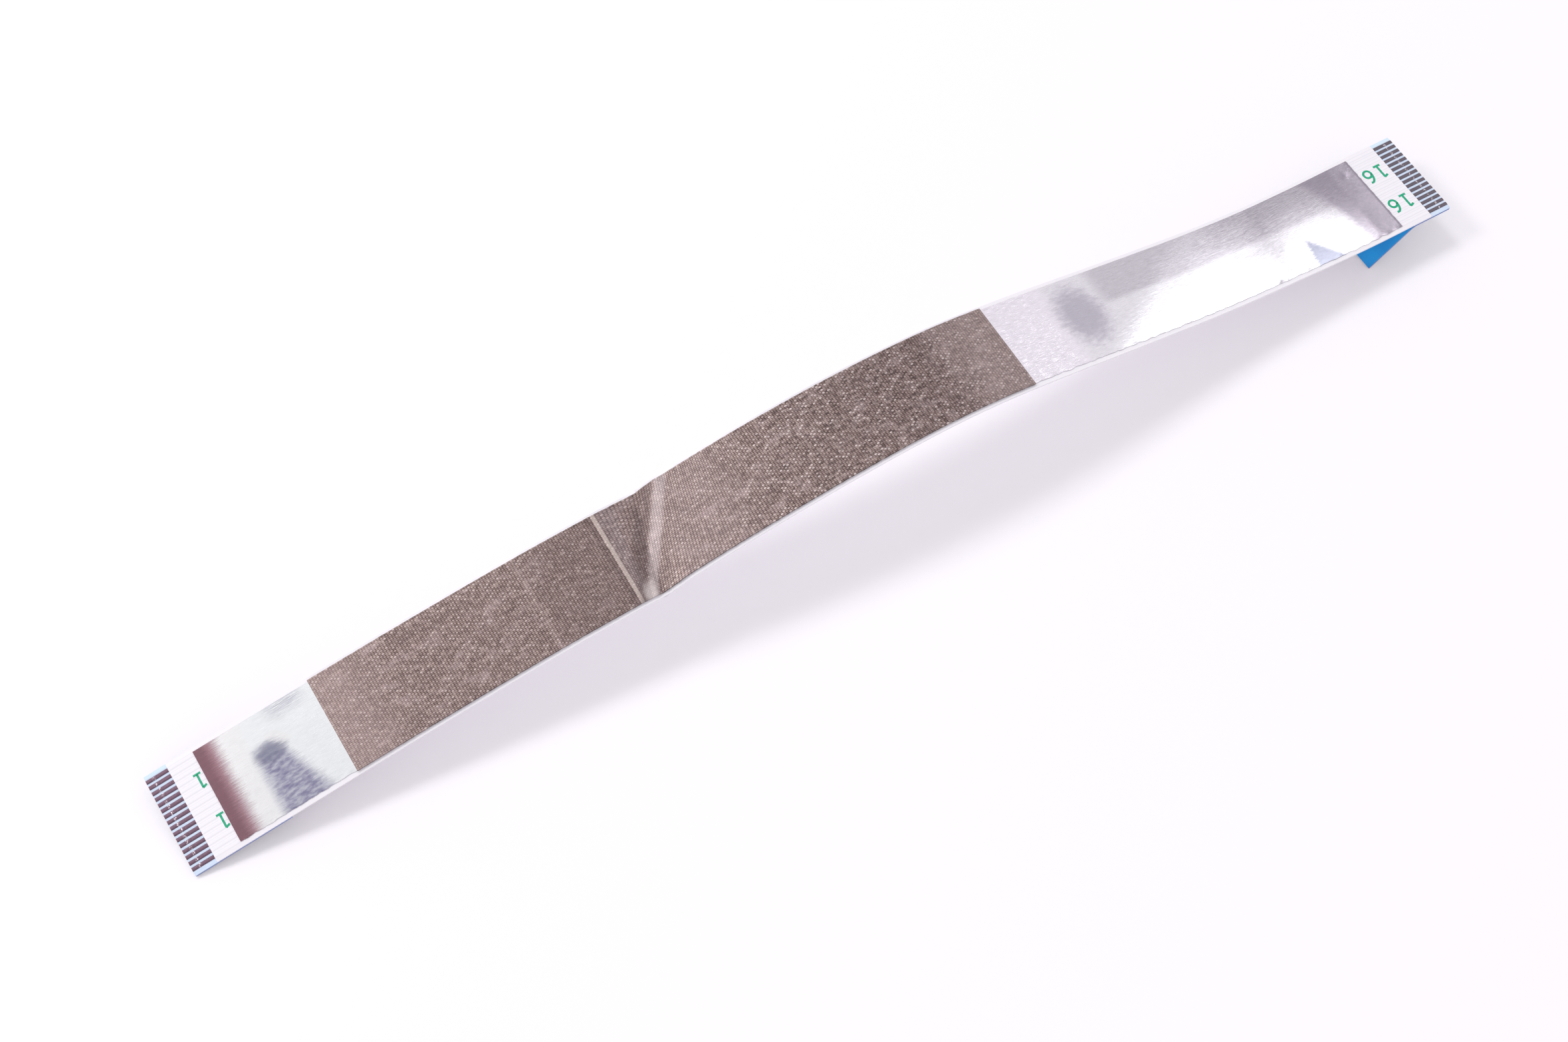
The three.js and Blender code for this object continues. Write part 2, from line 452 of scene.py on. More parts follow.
class Graph:
    """A node tree that is written down node by node."""

    def __init__(self, tree: bpy.types.NodeTree) -> None:
        """Starts an empty graph in a tree."""
        self.tree = tree
        tree.nodes.clear()

    def node(self, kind: str, settings: dict[str, Any] | None = None, **feeds: Feed) -> Any:
        """Adds a node.

        Args:
            kind: the node's type without its ShaderNode prefix.
            settings: its own properties.
            feeds: values or sockets for its inputs, by name with _ for a space.

        Returns:
            The node.
        """
        node = self.tree.nodes.new("ShaderNode" + kind)
        for key, value in (settings or {}).items():
            setattr(node, key, value)
        for key, value in feeds.items():
            self.feed(node.inputs[key.replace("_", " ")], value)
        return node

    def feed(self, socket: bpy.types.NodeSocket, value: Feed) -> None:
        """Links or sets an input.

        Args:
            socket: the input.
            value: a socket to link or a value to set.
        """
        if isinstance(value, bpy.types.NodeSocket):
            self.tree.links.new(value, socket)
        else:
            socket.default_value = value

    def math(self, operation: str, *values: Feed, clamp: bool = False) -> bpy.types.NodeSocket:
        """A sum of one kind.

        Args:
            operation: the Math node's operation.
            values: its inputs in order.
            clamp: whether the result stays from 0 to 1.

        Returns:
            The result.
        """
        node = self.node("Math", {"operation": operation, "use_clamp": clamp})
        for socket, value in zip(node.inputs, values):
            self.feed(socket, value)
        return node.outputs[0]

    def times(self, *values: Feed) -> Any:
        """The product of two or more values.

        Args:
            values: what is multiplied.

        Returns:
            The product.
        """
        product = values[0]
        for value in values[1:]:
            product = self.math("MULTIPLY", product, value)
        return product

    def mix(self, share: Feed, first: Feed, second: Feed) -> Any:
        """Mixes two colours.

        Args:
            share: how much of the second shows.
            first: the colour at 0.
            second: the colour at 1.

        Returns:
            The mixed colour.
        """
        node = self.node("Mix", {"data_type": "RGBA"})
        for number, value in zip((0, 6, 7), (share, first, second)):
            self.feed(node.inputs[number], value)
        return node.outputs[2]

    def step(self, value: Feed, low: float, high: float, out: tuple[float, float] = (0, 1)) -> Any:
        """A smooth step.

        Args:
            value: what is stepped.
            low: where the step starts.
            high: where it ends.
            out: the results at both ends.

        Returns:
            The stepped value.
        """
        node = self.node(
            "MapRange",
            {"interpolation_type": "SMOOTHSTEP"},
            Value=value,
            From_Min=low,
            From_Max=high,
            To_Min=out[0],
            To_Max=out[1],
        )
        return node.outputs[0]

    def between(self, value: Feed, low: float, high: float, soft: float) -> Any:
        """1 between two values, with soft borders.

        Args:
            value: what is tested.
            low: where it comes in.
            high: where it goes out.
            soft: the width of each border.

        Returns:
            The mask.
        """
        rise = self.step(value, low - soft / 2, low + soft / 2)
        fall = self.step(value, high - soft / 2, high + soft / 2, (1, 0))
        return self.times(rise, fall)

    def flat_map(self) -> bpy.types.NodeSocket:
        """The place in the flat sheet, in millimetres."""
        return self.node("UVMap", {"uv_map": FLAT_MAP}).outputs["UV"]

    def object_map(self) -> bpy.types.NodeSocket:
        """The place on the object, in metres."""
        return self.node("TexCoord").outputs["Object"]

    def axes(self, vector: Feed) -> tuple[bpy.types.NodeSocket, bpy.types.NodeSocket]:
        """The first two parts of a vector."""
        node = self.node("SeparateXYZ", Vector=vector)
        return node.outputs[0], node.outputs[1]

    def noise(self, vector: Feed, scale: float, detail: float = 3, rough: float = 0.5) -> Any:
        """A noise texture.

        Args:
            vector: where it is read.
            scale: its scale.
            detail: its octaves.
            rough: the share that each finer octave keeps.

        Returns:
            Its value, around 0.5.
        """
        return self.node(
            "TexNoise", Vector=vector, Scale=scale, Detail=detail, Roughness=rough
        ).outputs[0]

    def stretched(self, vector: Feed, scale: tuple[float, float, float]) -> Any:
        """A vector with each axis scaled."""
        return self.node("Mapping", Vector=vector, Scale=scale).outputs[0]

    def muted(self, colour: Feed) -> Any:
        """A colour that hardly tints the light it scatters onto its surroundings."""
        scattered = self.node("LightPath").outputs["Is Diffuse Ray"]
        return self.mix(scattered, colour, shade(196, 200, 206))

    def bump(self, height: Feed, depth: float, strength: float = 1.0) -> Any:
        """A normal from a height.

        Args:
            height: the height, from 0 to 1.
            depth: what 1 stands for, in metres.
            strength: how much of it shows.

        Returns:
            The bumped normal.
        """
        return self.node("Bump", Height=height, Distance=depth, Strength=strength).outputs[0]

    def spot(
        self, flat: Feed, middle: tuple[float, float], radii: tuple[float, float], ragged: float
    ) -> Any:
        """A ragged spot.

        Args:
            flat: the place in the sheet.
            middle: the spot's middle, along and across.
            radii: its radii, along and across.
            ragged: how uneven its border is.

        Returns:
            The mask.
        """
        feeds = {"Along": middle[0], "Across": middle[1], "Long": radii[0], "Wide": radii[1]}
        return self.effect(SPOT, Vector=flat, Ragged=ragged, **feeds)["Value"]

    def effect(self, effect: "Effect", **feeds: Feed) -> Any:
        """Places a shared effect.

        Args:
            effect: the effect.
            feeds: values or sockets for its inputs, by name with _ for a space.

        Returns:
            The group node's outputs.
        """
        node = self.node("Group", {"node_tree": effect.tree()}, **feeds)
        return node.outputs


class Effect(ABC):
    """A node group with named inputs and outputs that several finishes place."""

    name: str
    inputs: tuple[tuple[str, float], ...] = ()
    outputs: tuple[str, ...] = ("Value",)

    def tree(self) -> bpy.types.NodeTree:
        """The group, built once.

        Returns:
            The node tree.
        """
        if self.name in bpy.data.node_groups:
            return bpy.data.node_groups[self.name]
        tree = bpy.data.node_groups.new(self.name, "ShaderNodeTree")
        tree.interface.new_socket("Vector", in_out="INPUT", socket_type="NodeSocketVector")
        for name, value in self.inputs:
            socket = tree.interface.new_socket(name, in_out="INPUT", socket_type="NodeSocketFloat")
            socket.default_value = value
        for name in self.outputs:
            tree.interface.new_socket(name, in_out="OUTPUT", socket_type="NodeSocketFloat")
        graph = Graph(tree)
        taken = tree.nodes.new("NodeGroupInput")
        given = tree.nodes.new("NodeGroupOutput")
        for name, value in self.wire(graph, taken.outputs).items():
            tree.links.new(value, given.inputs[name])
        return tree

    @abstractmethod
    def wire(self, graph: Graph, taken: Any) -> dict[str, bpy.types.NodeSocket]:
        """Builds the group's inside.

        Args:
            graph: where its nodes go.
            taken: the group's inputs.

        Returns:
            What each output is.
        """


class Weave(Effect):
    """A plain weave: yarns along and across that pass over each other in turn."""

    name = "Plain weave"
    inputs = (("Pitch Along", 0.217), ("Pitch Across", 0.1375))
    outputs = ("Height", "Over", "Yarn", "Third")

    def wire(self, graph: Graph, taken: Any) -> dict[str, bpy.types.NodeSocket]:
        """Two sets of crowned yarns, of which the higher one shows.

        Args:
            graph: where its nodes go.
            taken: the group's inputs.

        Returns:
            What each output is.
        """
        pitches = (taken["Pitch Along"], taken["Pitch Across"])
        u, v = (
            graph.math("DIVIDE", graph.times(axis, math.pi), pitch)
            for axis, pitch in zip(graph.axes(taken["Vector"]), pitches)
        )
        wave_u, wave_v = graph.math("SINE", u), graph.math("SINE", v)
        crown_u, crown_v = graph.math("ABSOLUTE", wave_u), graph.math("ABSOLUTE", wave_v)
        turn_u, turn_v = (graph.math("SIGN", wave) for wave in (wave_u, wave_v))
        warp = graph.math("MULTIPLY_ADD", graph.times(crown_u, turn_u), turn_v, crown_v)
        weft = graph.times(crown_v, turn_u, turn_v)
        weft = graph.math("SUBTRACT", crown_u, weft)
        height = graph.times(graph.math("MAXIMUM", warp, weft), 0.5)
        over = graph.math("MULTIPLY_ADD", graph.times(wave_u, wave_v), 0.5, 0.5)
        column, row = (graph.math("FLOOR", graph.math("DIVIDE", turn, math.pi)) for turn in (u, v))
        number = graph.node("CombineXYZ", X=column, Y=row).outputs[0]
        yarn = graph.node("TexWhiteNoise", Vector=number).outputs["Value"]
        third = graph.math("LESS_THAN", graph.math("FLOORED_MODULO", row, 3.0), 0.5)
        return {"Height": height, "Over": over, "Yarn": yarn, "Third": third}


class Streaks(Effect):
    """Fine lines along the cable, as rolling and brushing leave them."""

    name = "Streaks"
    inputs = (("Length", 3.0), ("Width", 0.06))

    def wire(self, graph: Graph, taken: Any) -> dict[str, bpy.types.NodeSocket]:
        """Noise drawn out along the cable at two widths.

        Args:
            graph: where its nodes go.
            taken: the group's inputs.

        Returns:
            What each output is.
        """
        along, across = graph.axes(taken["Vector"])
        found = []
        for share in (1.0, 0.28):
            vector = graph.node(
                "CombineXYZ",
                X=graph.math("DIVIDE", along, graph.times(taken["Length"], share)),
                Y=graph.math("DIVIDE", across, graph.times(taken["Width"], share)),
            ).outputs[0]
            found.append(graph.noise(vector, 1.0, 2))
        return {"Value": graph.math("ADD", *(graph.times(one, 0.5) for one in found))}


class Spot(Effect):
    """A soft-edged spot around one place, with a ragged border."""

    name = "Spot"
    inputs = (("Along", 0.0), ("Across", 0.0), ("Long", 1.0), ("Wide", 1.0), ("Ragged", 0.4))

    def wire(self, graph: Graph, taken: Any) -> dict[str, bpy.types.NodeSocket]:
        """The distance from the middle in radii, disturbed by noise, and faded.

        Args:
            graph: where its nodes go.
            taken: the group's inputs.

        Returns:
            What each output is.
        """
        parts = []
        axes = graph.axes(taken["Vector"])
        for axis, middle, radius in zip(axes, ("Along", "Across"), ("Long", "Wide")):
            away = graph.math("SUBTRACT", axis, taken[middle])
            parts.append(graph.math("POWER", graph.math("DIVIDE", away, taken[radius]), 2.0))
        distance = graph.math("SQRT", graph.math("ADD", *parts))
        ragged = graph.noise(graph.stretched(taken["Vector"], (0.9, 2.4, 1)), 1.3, 4, 0.6)
        ragged = graph.times(graph.math("SUBTRACT", ragged, 0.5), taken["Ragged"])
        reached = graph.math("ADD", distance, graph.times(ragged, 2.0))
        return {"Value": graph.step(reached, 0.45, 1.25, (1, 0))}


class Specks(Effect):
    """Sparse specks of dust."""

    name = "Specks"
    inputs = (("Apart", 1.2), ("Size", 0.05))

    def wire(self, graph: Graph, taken: Any) -> dict[str, bpy.types.NodeSocket]:
        """Round cells around scattered points.

        Args:
            graph: where its nodes go.
            taken: the group's inputs.

        Returns:
            What each output is.
        """
        scale = graph.math("DIVIDE", 1.0, taken["Apart"])
        cells = graph.node("TexVoronoi", Vector=taken["Vector"], Scale=scale)
        reach = graph.times(cells.outputs["Distance"], taken["Apart"])
        near = graph.math("DIVIDE", reach, taken["Size"])
        return {"Value": graph.step(near, 0.6, 1.2, (1, 0))}


WEAVE, STREAKS, SPOT, SPECKS = Weave(), Streaks(), Spot(), Specks()


# Finishes


def shade(red: float, green: float, blue: float) -> tuple[float, float, float, float]:
    """A colour given by its screen values from 0 to 255.

    Args:
        red: its red part.
        green: its green part.
        blue: its blue part.

    Returns:
        The linear colour, fully opaque.
    """
    parts = [value / 255 for value in (red, green, blue)]
    line = [v / 12.92 if v <= 0.04045 else ((v + 0.055) / 1.055) ** 2.4 for v in parts]
    return (*line, 1.0)


class Finish(ABC):
    """A surface finish, made once as a material."""

    name: str

    def material(self) -> bpy.types.Material:
        """The finish as a material.

        Returns:
            The material.
        """
        if self.name in bpy.data.materials:
            return bpy.data.materials[self.name]
        material = bpy.data.materials.new(self.name)
        material.use_nodes = True
        graph = Graph(material.node_tree)
        surface = graph.node("BsdfPrincipled")
        out = graph.node("OutputMaterial")
        graph.tree.links.new(surface.outputs[0], out.inputs["Surface"])
        self.dress(graph, surface.inputs)
        return material

    @abstractmethod
    def dress(self, graph: Graph, surface: Any) -> None:
        """Feeds the surface's colour, gloss and relief.

        Args:
            graph: the material's nodes.
            surface: the inputs of its shader.
        """


def beside_conductor(graph: Graph, stack: Stack, across: Feed) -> Any:
    """How far a place is from the middle of the nearest conductor.

    Args:
        graph: the material's nodes.
        stack: the laminate's sizes.
        across: the place across the cable.

    Returns:
        The distance in millimetres.
    """
    inside = graph.math("ADD", across, stack.half_width)
    return graph.math("PINGPONG", inside, stack.pitch / 2)


@dataclass(frozen=True)
class CoverFilm(Finish):
    """White polyester film with the conductors showing faintly through it."""

    stack: Stack
    name: str = "White film"
    white: tuple = shade(249, 247, 251)
    line: tuple = shade(214, 212, 222)

    def dress(self, graph: Graph, surface: Any) -> None:
        """Faint lines at both edges of each conductor, under a slightly uneven gloss.

        Args:
            graph: the material's nodes.
            surface: the inputs of its shader.
        """
        flat = graph.flat_map()
        across = graph.axes(flat)[1]
        beside = beside_conductor(graph, self.stack, across)
        away = graph.math("SUBTRACT", beside, self.stack.conductor_width / 2)
        line = graph.step(graph.math("ABSOLUTE", away), 0.012, 0.05, (0.3, 0))
        hem = graph.step(graph.math("ABSOLUTE", across), 3.9, 3.96, (1, 0))
        line = graph.times(line, hem)
        cloud = graph.noise(flat, 0.8, 4)
        colour = graph.mix(line, self.white, self.line)
        colour = graph.mix(graph.step(cloud, 0.35, 0.75, (0, 0.08)), colour, shade(225, 230, 240))
        graph.feed(surface["Base Color"], colour)
        graph.feed(surface["Roughness"], graph.step(cloud, 0.2, 0.8, (0.26, 0.4)))
        graph.feed(surface["Normal"], graph.bump(graph.noise(flat, 6, 3), 0.000004))
        surface["Coat Weight"].default_value = 0.15
        surface["Coat Roughness"].default_value = 0.2


@dataclass(frozen=True)
class BaseFilm(Finish):
    """The lower film: pale blue where the stiffener shows through beside the contacts."""

    stack: Stack
    name: str = "Base film"
    white: tuple = shade(244, 242, 247)
    blue: tuple = shade(204, 224, 248)

    def dress(self, graph: Graph, surface: Any) -> None:
        """White, turned pale blue at the two ends, with streaks of adhesive.

        Args:
            graph: the material's nodes.
            surface: the inputs of its shader.
        """
        flat = graph.flat_map()
        along, across = graph.axes(flat)
        left = graph.step(along, self.stack.left_contacts, self.stack.left_contacts + 0.1, (1, 0))
        start = self.stack.length - self.stack.right_contacts
        right = graph.step(along, start - 0.1, start)
        bare = graph.math("ADD", left, right, clamp=True)
        streak = graph.effect(STREAKS, Vector=flat, Length=1.6, Width=0.1)["Value"]
        blue = graph.mix(graph.step(streak, 0.35, 0.7), self.blue, shade(222, 236, 250))
        rim = graph.step(across, self.stack.half_width - 0.32, self.stack.half_width - 0.25)
        blue = graph.mix(graph.times(rim, 0.7), blue, shade(222, 246, 254))
        graph.feed(surface["Base Color"], graph.mix(bare, self.white, blue))
        graph.feed(surface["Roughness"], graph.step(streak, 0.3, 0.7, (0.22, 0.38)))
        graph.feed(surface["Normal"], graph.bump(streak, 0.000004))
        surface["Coat Weight"].default_value = 0.3
        surface["Coat Roughness"].default_value = 0.12


@dataclass(frozen=True)
class TinnedCopper(Finish):
    """Tinned flat conductors, worn by the socket's springs."""

    stack: Stack
    name: str = "Tinned copper"
    left: tuple = shade(124, 96, 112)
    right: tuple = shade(132, 124, 132)
    core: tuple[float, float] = (0.11, 0.18)
    wiped: tuple[tuple[float, float], ...] = ((0.55, 0.75), (115.12, 115.3))

    def dress(self, graph: Graph, surface: Any) -> None:
        """A warmer left end, darker middles, drawing lines, wiped spots and a few specks.

        Args:
            graph: the material's nodes.
            surface: the inputs of its shader.
        """
        flat = graph.flat_map()
        along, across = graph.axes(flat)
        beside = beside_conductor(graph, self.stack, across)
        tone = graph.mix(graph.step(along, 40, 80), self.left, self.right)
        streak = graph.effect(STREAKS, Vector=flat, Length=1.1, Width=0.035)["Value"]
        dark = graph.mix(0.5, tone, (0.05, 0.035, 0.05, 1.0))
        colour = graph.mix(graph.step(streak, 0.3, 0.62), dark, tone)
        colour = graph.mix(graph.step(beside, *self.core, (0.75, 0)), colour, dark)
        wiped = graph.math("ADD", *(graph.between(along, *place, 0.1) for place in self.wiped))
        wiped = graph.times(wiped, graph.step(graph.noise(flat, 9, 3), 0.5, 0.62))
        colour = graph.mix(wiped, colour, shade(236, 230, 236))
        speck = graph.effect(SPECKS, Vector=flat, Apart=0.55, Size=0.022)["Value"]
        colour = graph.mix(speck, colour, shade(232, 228, 234))
        graph.feed(surface["Base Color"], colour)
        graph.feed(surface["Roughness"], graph.step(streak, 0.3, 0.7, (0.24, 0.42)))
        graph.feed(surface["Normal"], graph.bump(streak, 0.000006))
        surface["Metallic"].default_value = 0.7


@dataclass(frozen=True)
class BluePlastic(Finish):
    """Blue polyester stiffener sheet with a satin face."""

    name: str = "Blue stiffener"
    blue: tuple = shade(8, 166, 244)
    deep: tuple = shade(4, 150, 232)

    def dress(self, graph: Graph, surface: Any) -> None:
        """Slightly mottled blue with very fine scuffs.

        Args:
            graph: the material's nodes.
            surface: the inputs of its shader.
        """
        flat = graph.flat_map()
        cloud = graph.noise(flat, 0.7, 4)
        scuff = graph.effect(STREAKS, Vector=flat, Length=0.9, Width=0.05)["Value"]
        colour = graph.mix(graph.step(cloud, 0.3, 0.75), self.blue, self.deep)
        pale = graph.step(scuff, 0.62, 0.75, (0, 0.12))
        colour = graph.mix(pale, colour, shade(120, 190, 235))
        graph.feed(surface["Base Color"], graph.muted(colour))
        graph.feed(surface["Roughness"], graph.step(scuff, 0.3, 0.7, (0.34, 0.5)))
        graph.feed(surface["Normal"], graph.bump(scuff, 0.000003))


@dataclass(frozen=True)
class CutBlueEdge(Finish):
    """The stiffener's cut edges, in a tone of their own beside its face."""

    name: str
    tone: tuple
    roughness: float = 0.35

    def dress(self, graph: Graph, surface: Any) -> None:
        """Fine shear marks along the cut.

        Args:
            graph: the material's nodes.
            surface: the inputs of its shader.
        """
        marks = graph.noise(graph.object_map(), 9000, 3)
        dark = graph.mix(0.35, self.tone, (0.02, 0.05, 0.2, 1.0))
        colour = graph.mix(graph.step(marks, 0.35, 0.7), dark, self.tone)
        graph.feed(surface["Base Color"], graph.muted(colour))
        graph.feed(surface["Normal"], graph.bump(marks, 0.000006))
        surface["Roughness"].default_value = self.roughness


@dataclass(frozen=True)
class FoilPlace:
    """Where on the foil a mark is: the flat place and its parts, and the rolling lines.

    The reach is the place along the cable, made ragged by the rolling lines.
    """

    flat: Feed
    along: Feed
    across: Feed
    reach: Feed
    grain: Feed
    fine: Feed


@dataclass(frozen=True)
class ShieldFoil(Finish):
    """Rolled aluminium foil with coloured patches on its left bare stretch and painted reflections
    on its right one.
    """

    name: str = "Aluminium foil"
    silver: tuple = (0.88, 0.87, 0.9, 1.0)
    mint: tuple = (0.97, 1.0, 1.0, 1.0)
    cream: tuple = (0.97, 0.95, 0.93, 1.0)
    mauve: tuple = (0.27, 0.145, 0.17, 1.0)
    pink: tuple = (0.46, 0.28, 0.32, 1.0)
    slate: tuple = (0.27, 0.26, 0.4, 1.0)
    smoke: tuple = (0.2, 0.21, 0.3, 1.0)
    grime: tuple = shade(120, 116, 124)
    speck: tuple = shade(90, 88, 100)
    # bright, dull, the dim patch, the wedge and the dim end are painted reflections on the right
    # bare stretch: a painted highlight and painted reflections of darker surroundings.
    bright: tuple = (0.93, 0.9, 0.95, 1.0)
    dull: tuple = (0.58, 0.56, 0.6, 1.0)
    dim_patch_reflection: tuple = (0.5, 0.48, 0.55, 1.0)
    wedge: tuple = (0.26, 0.28, 0.36, 1.0)
    dim_end_reflection: tuple = (0.5, 0.46, 0.52, 1.0)
    patch_slant: float = 0.389
    streak_slant: float = 0.8
    wedge_tip: float = -0.8
    wedge_slants: tuple[float, float] = (-0.241, 0.828)
    shore_slope: float = 1.5
    relief: float = 0.0000022

    def dress(self, graph: Graph, surface: Any) -> None:
        """Rolling lines under the coloured patches of the left bare stretch and the painted
        reflections of the right one.

        Args:
            graph: the material's nodes.
            surface: the inputs of its shader.
        """
        flat = graph.flat_map()
        along, across = graph.axes(flat)
        streak = graph.effect(STREAKS, Vector=flat, Length=2.6, Width=0.07)["Value"]
        fine = graph.effect(STREAKS, Vector=flat, Length=0.8, Width=0.025)["Value"]
        grain = graph.math("ADD", graph.times(streak, 0.6), graph.times(fine, 0.4))
        ragged = graph.times(graph.math("SUBTRACT", grain, 0.5), 2.4)
        place = FoilPlace(flat, along, across, graph.math("ADD", along, ragged), grain, fine)
        colour = graph.mix(graph.step(along, 30, 60), self.mint, self.silver)
        colour = self.left_patches(graph, colour, place)
        colour = self.right_reflections(graph, colour, place)
        tarnish = graph.times(
            graph.step(along, 30, 60, (0.1, 0.32)), graph.step(fine, 0.36, 0.6, (1, 0))
        )
        colour = graph.mix(tarnish, colour, self.grime)
        speck = graph.effect(SPECKS, Vector=flat, Apart=2.6, Size=0.045)["Value"]
        graph.feed(surface["Base Color"], graph.mix(graph.times(speck, 0.6), colour, self.speck))
        graph.feed(surface["Roughness"], self.gloss(graph, place))
        graph.feed(surface["Normal"], graph.bump(grain, self.relief))
        surface["Metallic"].default_value = 1.0

    def gloss(self, graph: Graph, place: FoilPlace) -> Any:
        """The roughness: hazy at the left, dulled behind the tape and bright beyond.

        Args:
            graph: the material's nodes.
            place: where on the foil.

        Returns:
            The roughness.
        """
        shine = graph.step(place.grain, 0.3, 0.7, (0.07, 0.14))
        shine = graph.math("ADD", shine, graph.step(place.along, 30, 60, (0.1, 0)))
        streaky = graph.math(
            "MULTIPLY_ADD", graph.math("SUBTRACT", place.grain, 0.5), 22.0, place.along
        )
        inland = graph.math("MAXIMUM", graph.math("ADD", place.across, 3.5), 0.0)
        shore = graph.math("SUBTRACT", streaky, graph.times(inland, self.shore_slope))
        dulled = graph.times(
            graph.step(shore, 80.0, 85.5, (1, 0)), graph.step(place.along, 60, 65)
        )
        gleam = graph.times(
            graph.step(place.fine, 0.54, 0.64), graph.step(place.along, 77, 79, (1, 0))
        )
        dulled = graph.times(dulled, graph.math("SUBTRACT", 1.0, gleam), 0.34)
        return graph.math("ADD", shine, dulled)

    def left_patches(self, graph: Graph, colour: Feed, place: FoilPlace) -> Any:
        """A mauve band along the end, a slate patch beside it and pale streaks.

        Args:
            graph: the material's nodes.
            colour: the clean foil's colour.
            place: where on the foil.

        Returns:
            The colour with its patches.
        """
        reach, across, grain = place.reach, place.across, place.grain
        warm = graph.between(reach, 5.8, 7.6, 0.9)
        colour = graph.mix(graph.times(warm, 0.5), colour, self.cream)
        band = graph.mix(graph.step(reach, 4.5, 5.5), self.mauve, self.pink)
        colour = graph.mix(graph.step(reach, 5.1, 6.3, (1, 0)), colour, band)
        slant = graph.math("MULTIPLY_ADD", across, self.patch_slant, reach)
        mottle = graph.noise(graph.stretched(place.flat, (0.8, 2.2, 1)), 1.6, 4, 0.6)
        patch = graph.times(
            graph.step(reach, 7.2, 8.4),
            graph.step(slant, 9.5, 10.8, (1, 0)),
            graph.step(across, 0.6, 2.0, (1, 0)),
            graph.math("MULTIPLY_ADD", graph.step(mottle, 0.3, 0.7), 0.45, 0.55),
        )
        colour = graph.mix(patch, colour, self.slate)
        dark = graph.spot(place.flat, (8.9, 0.8), (1.4, 0.95), 0.5)
        colour = graph.mix(graph.times(dark, 0.6), colour, self.smoke)
        slant = graph.math("MULTIPLY_ADD", across, self.streak_slant, reach)
        pale = graph.times(
            graph.between(slant, 10.6, 11.6, 0.5),
            graph.between(across, 0.9, 2.1, 0.4),
            graph.step(grain, 0.4, 0.6),
            0.8,
        )
        colour = graph.mix(pale, colour, self.cream)
        far = graph.times(
            graph.between(reach, 9.9, 12.7, 1.6),
            graph.step(across, 2.2, 3.6),
            graph.step(grain, 0.42, 0.6, (0.5, 0)),
        )
        return graph.mix(far, colour, self.slate)

    def right_reflections(self, graph: Graph, colour: Feed, place: FoilPlace) -> Any:
        """A bright start with a dull patch, a grey far half, a bluish wedge and a dim end, all
        painted reflections.

        Args:
            graph: the material's nodes.
            colour: the foil's colour so far.
            place: where on the foil.

        Returns:
            The colour with its painted reflections.
        """
        reach, across, grain = place.reach, place.across, place.grain
        # Painted highlight: the bright start of the right stretch.
        colour = graph.mix(graph.between(reach, 72, 78.6, 1.2), colour, self.bright)
        # Painted reflection: a dim patch.
        patch = graph.spot(place.flat, (80.4, 0.3), (2.3, 3.1), 0.5)
        colour = graph.mix(graph.times(patch, 0.8), colour, self.dim_patch_reflection)
        # Painted reflection of darker surroundings over the far half.
        grey = graph.times(
            graph.step(reach, 82, 84),
            graph.step(across, 0.2, 0.9),
            graph.step(grain, 0.35, 0.6, (1.0, 0.6)),
        )
        colour = graph.mix(grey, colour, self.dull)
        # Painted reflection: a dark bluish wedge near the right end.
        beyond = graph.math("SUBTRACT", across, self.wedge_tip)
        left, right = (
            graph.math("MULTIPLY_ADD", beyond, slant, reach) for slant in self.wedge_slants
        )
        wedge = graph.times(
            graph.step(left, 102.6, 103.1),
            graph.step(right, 102.2, 103.0, (1, 0)),
            graph.step(across, self.wedge_tip - 0.3, self.wedge_tip, (1, 0)),
            0.9,
        )
        colour = graph.mix(wedge, colour, self.wedge)
        # Painted reflection: the dim right end.
        bow = graph.math("POWER", graph.math("ADD", across, 3.9), 2.0)
        curved = graph.math("MULTIPLY_ADD", bow, 0.03, reach)
        return graph.mix(graph.step(curved, 107.4, 108.4, (0, 0.9)), colour, self.dim_end_reflection)


@dataclass(frozen=True)
class TapeMark:
    """A lighter or darker stretch of the tape, square across it or along the slanted fold."""

    start: float
    end: float
    soft: float
    share: float
    tone: tuple
    slanted: bool = False


# The thin lines at 30.8, 37.15 and 37.65 and the two slanted rows are painted shade and painted
# highlights at the creases, and the stretch from 41.5 to 48 is a painted sheen; the other rows are
# lighter or darker stretches of the tape.
TAPE_MARKS = (
    TapeMark(11, 17.5, 5.0, 0.3, shade(186, 166, 164)),
    TapeMark(31.4, 37.4, 1.6, 0.2, shade(100, 84, 82)),
    TapeMark(30.8, 31.15, 0.3, 0.12, shade(200, 182, 178)),
    TapeMark(37.15, 37.6, 0.2, 0.35, shade(82, 66, 66)),
    TapeMark(37.65, 37.95, 0.16, 0.5, shade(226, 212, 204)),
    TapeMark(38.0, 38.9, 0.6, 0.14, shade(190, 178, 188)),
    TapeMark(39.1, 40.4, 0.7, 0.45, shade(84, 70, 70), slanted=True),
    TapeMark(40.55, 41.7, 0.6, 0.25, shade(240, 228, 230), slanted=True),
    TapeMark(41.5, 48.0, 5.0, 0.12, shade(200, 184, 184)),
    TapeMark(68.0, 76.0, 5.0, 0.3, shade(200, 184, 180)),
)


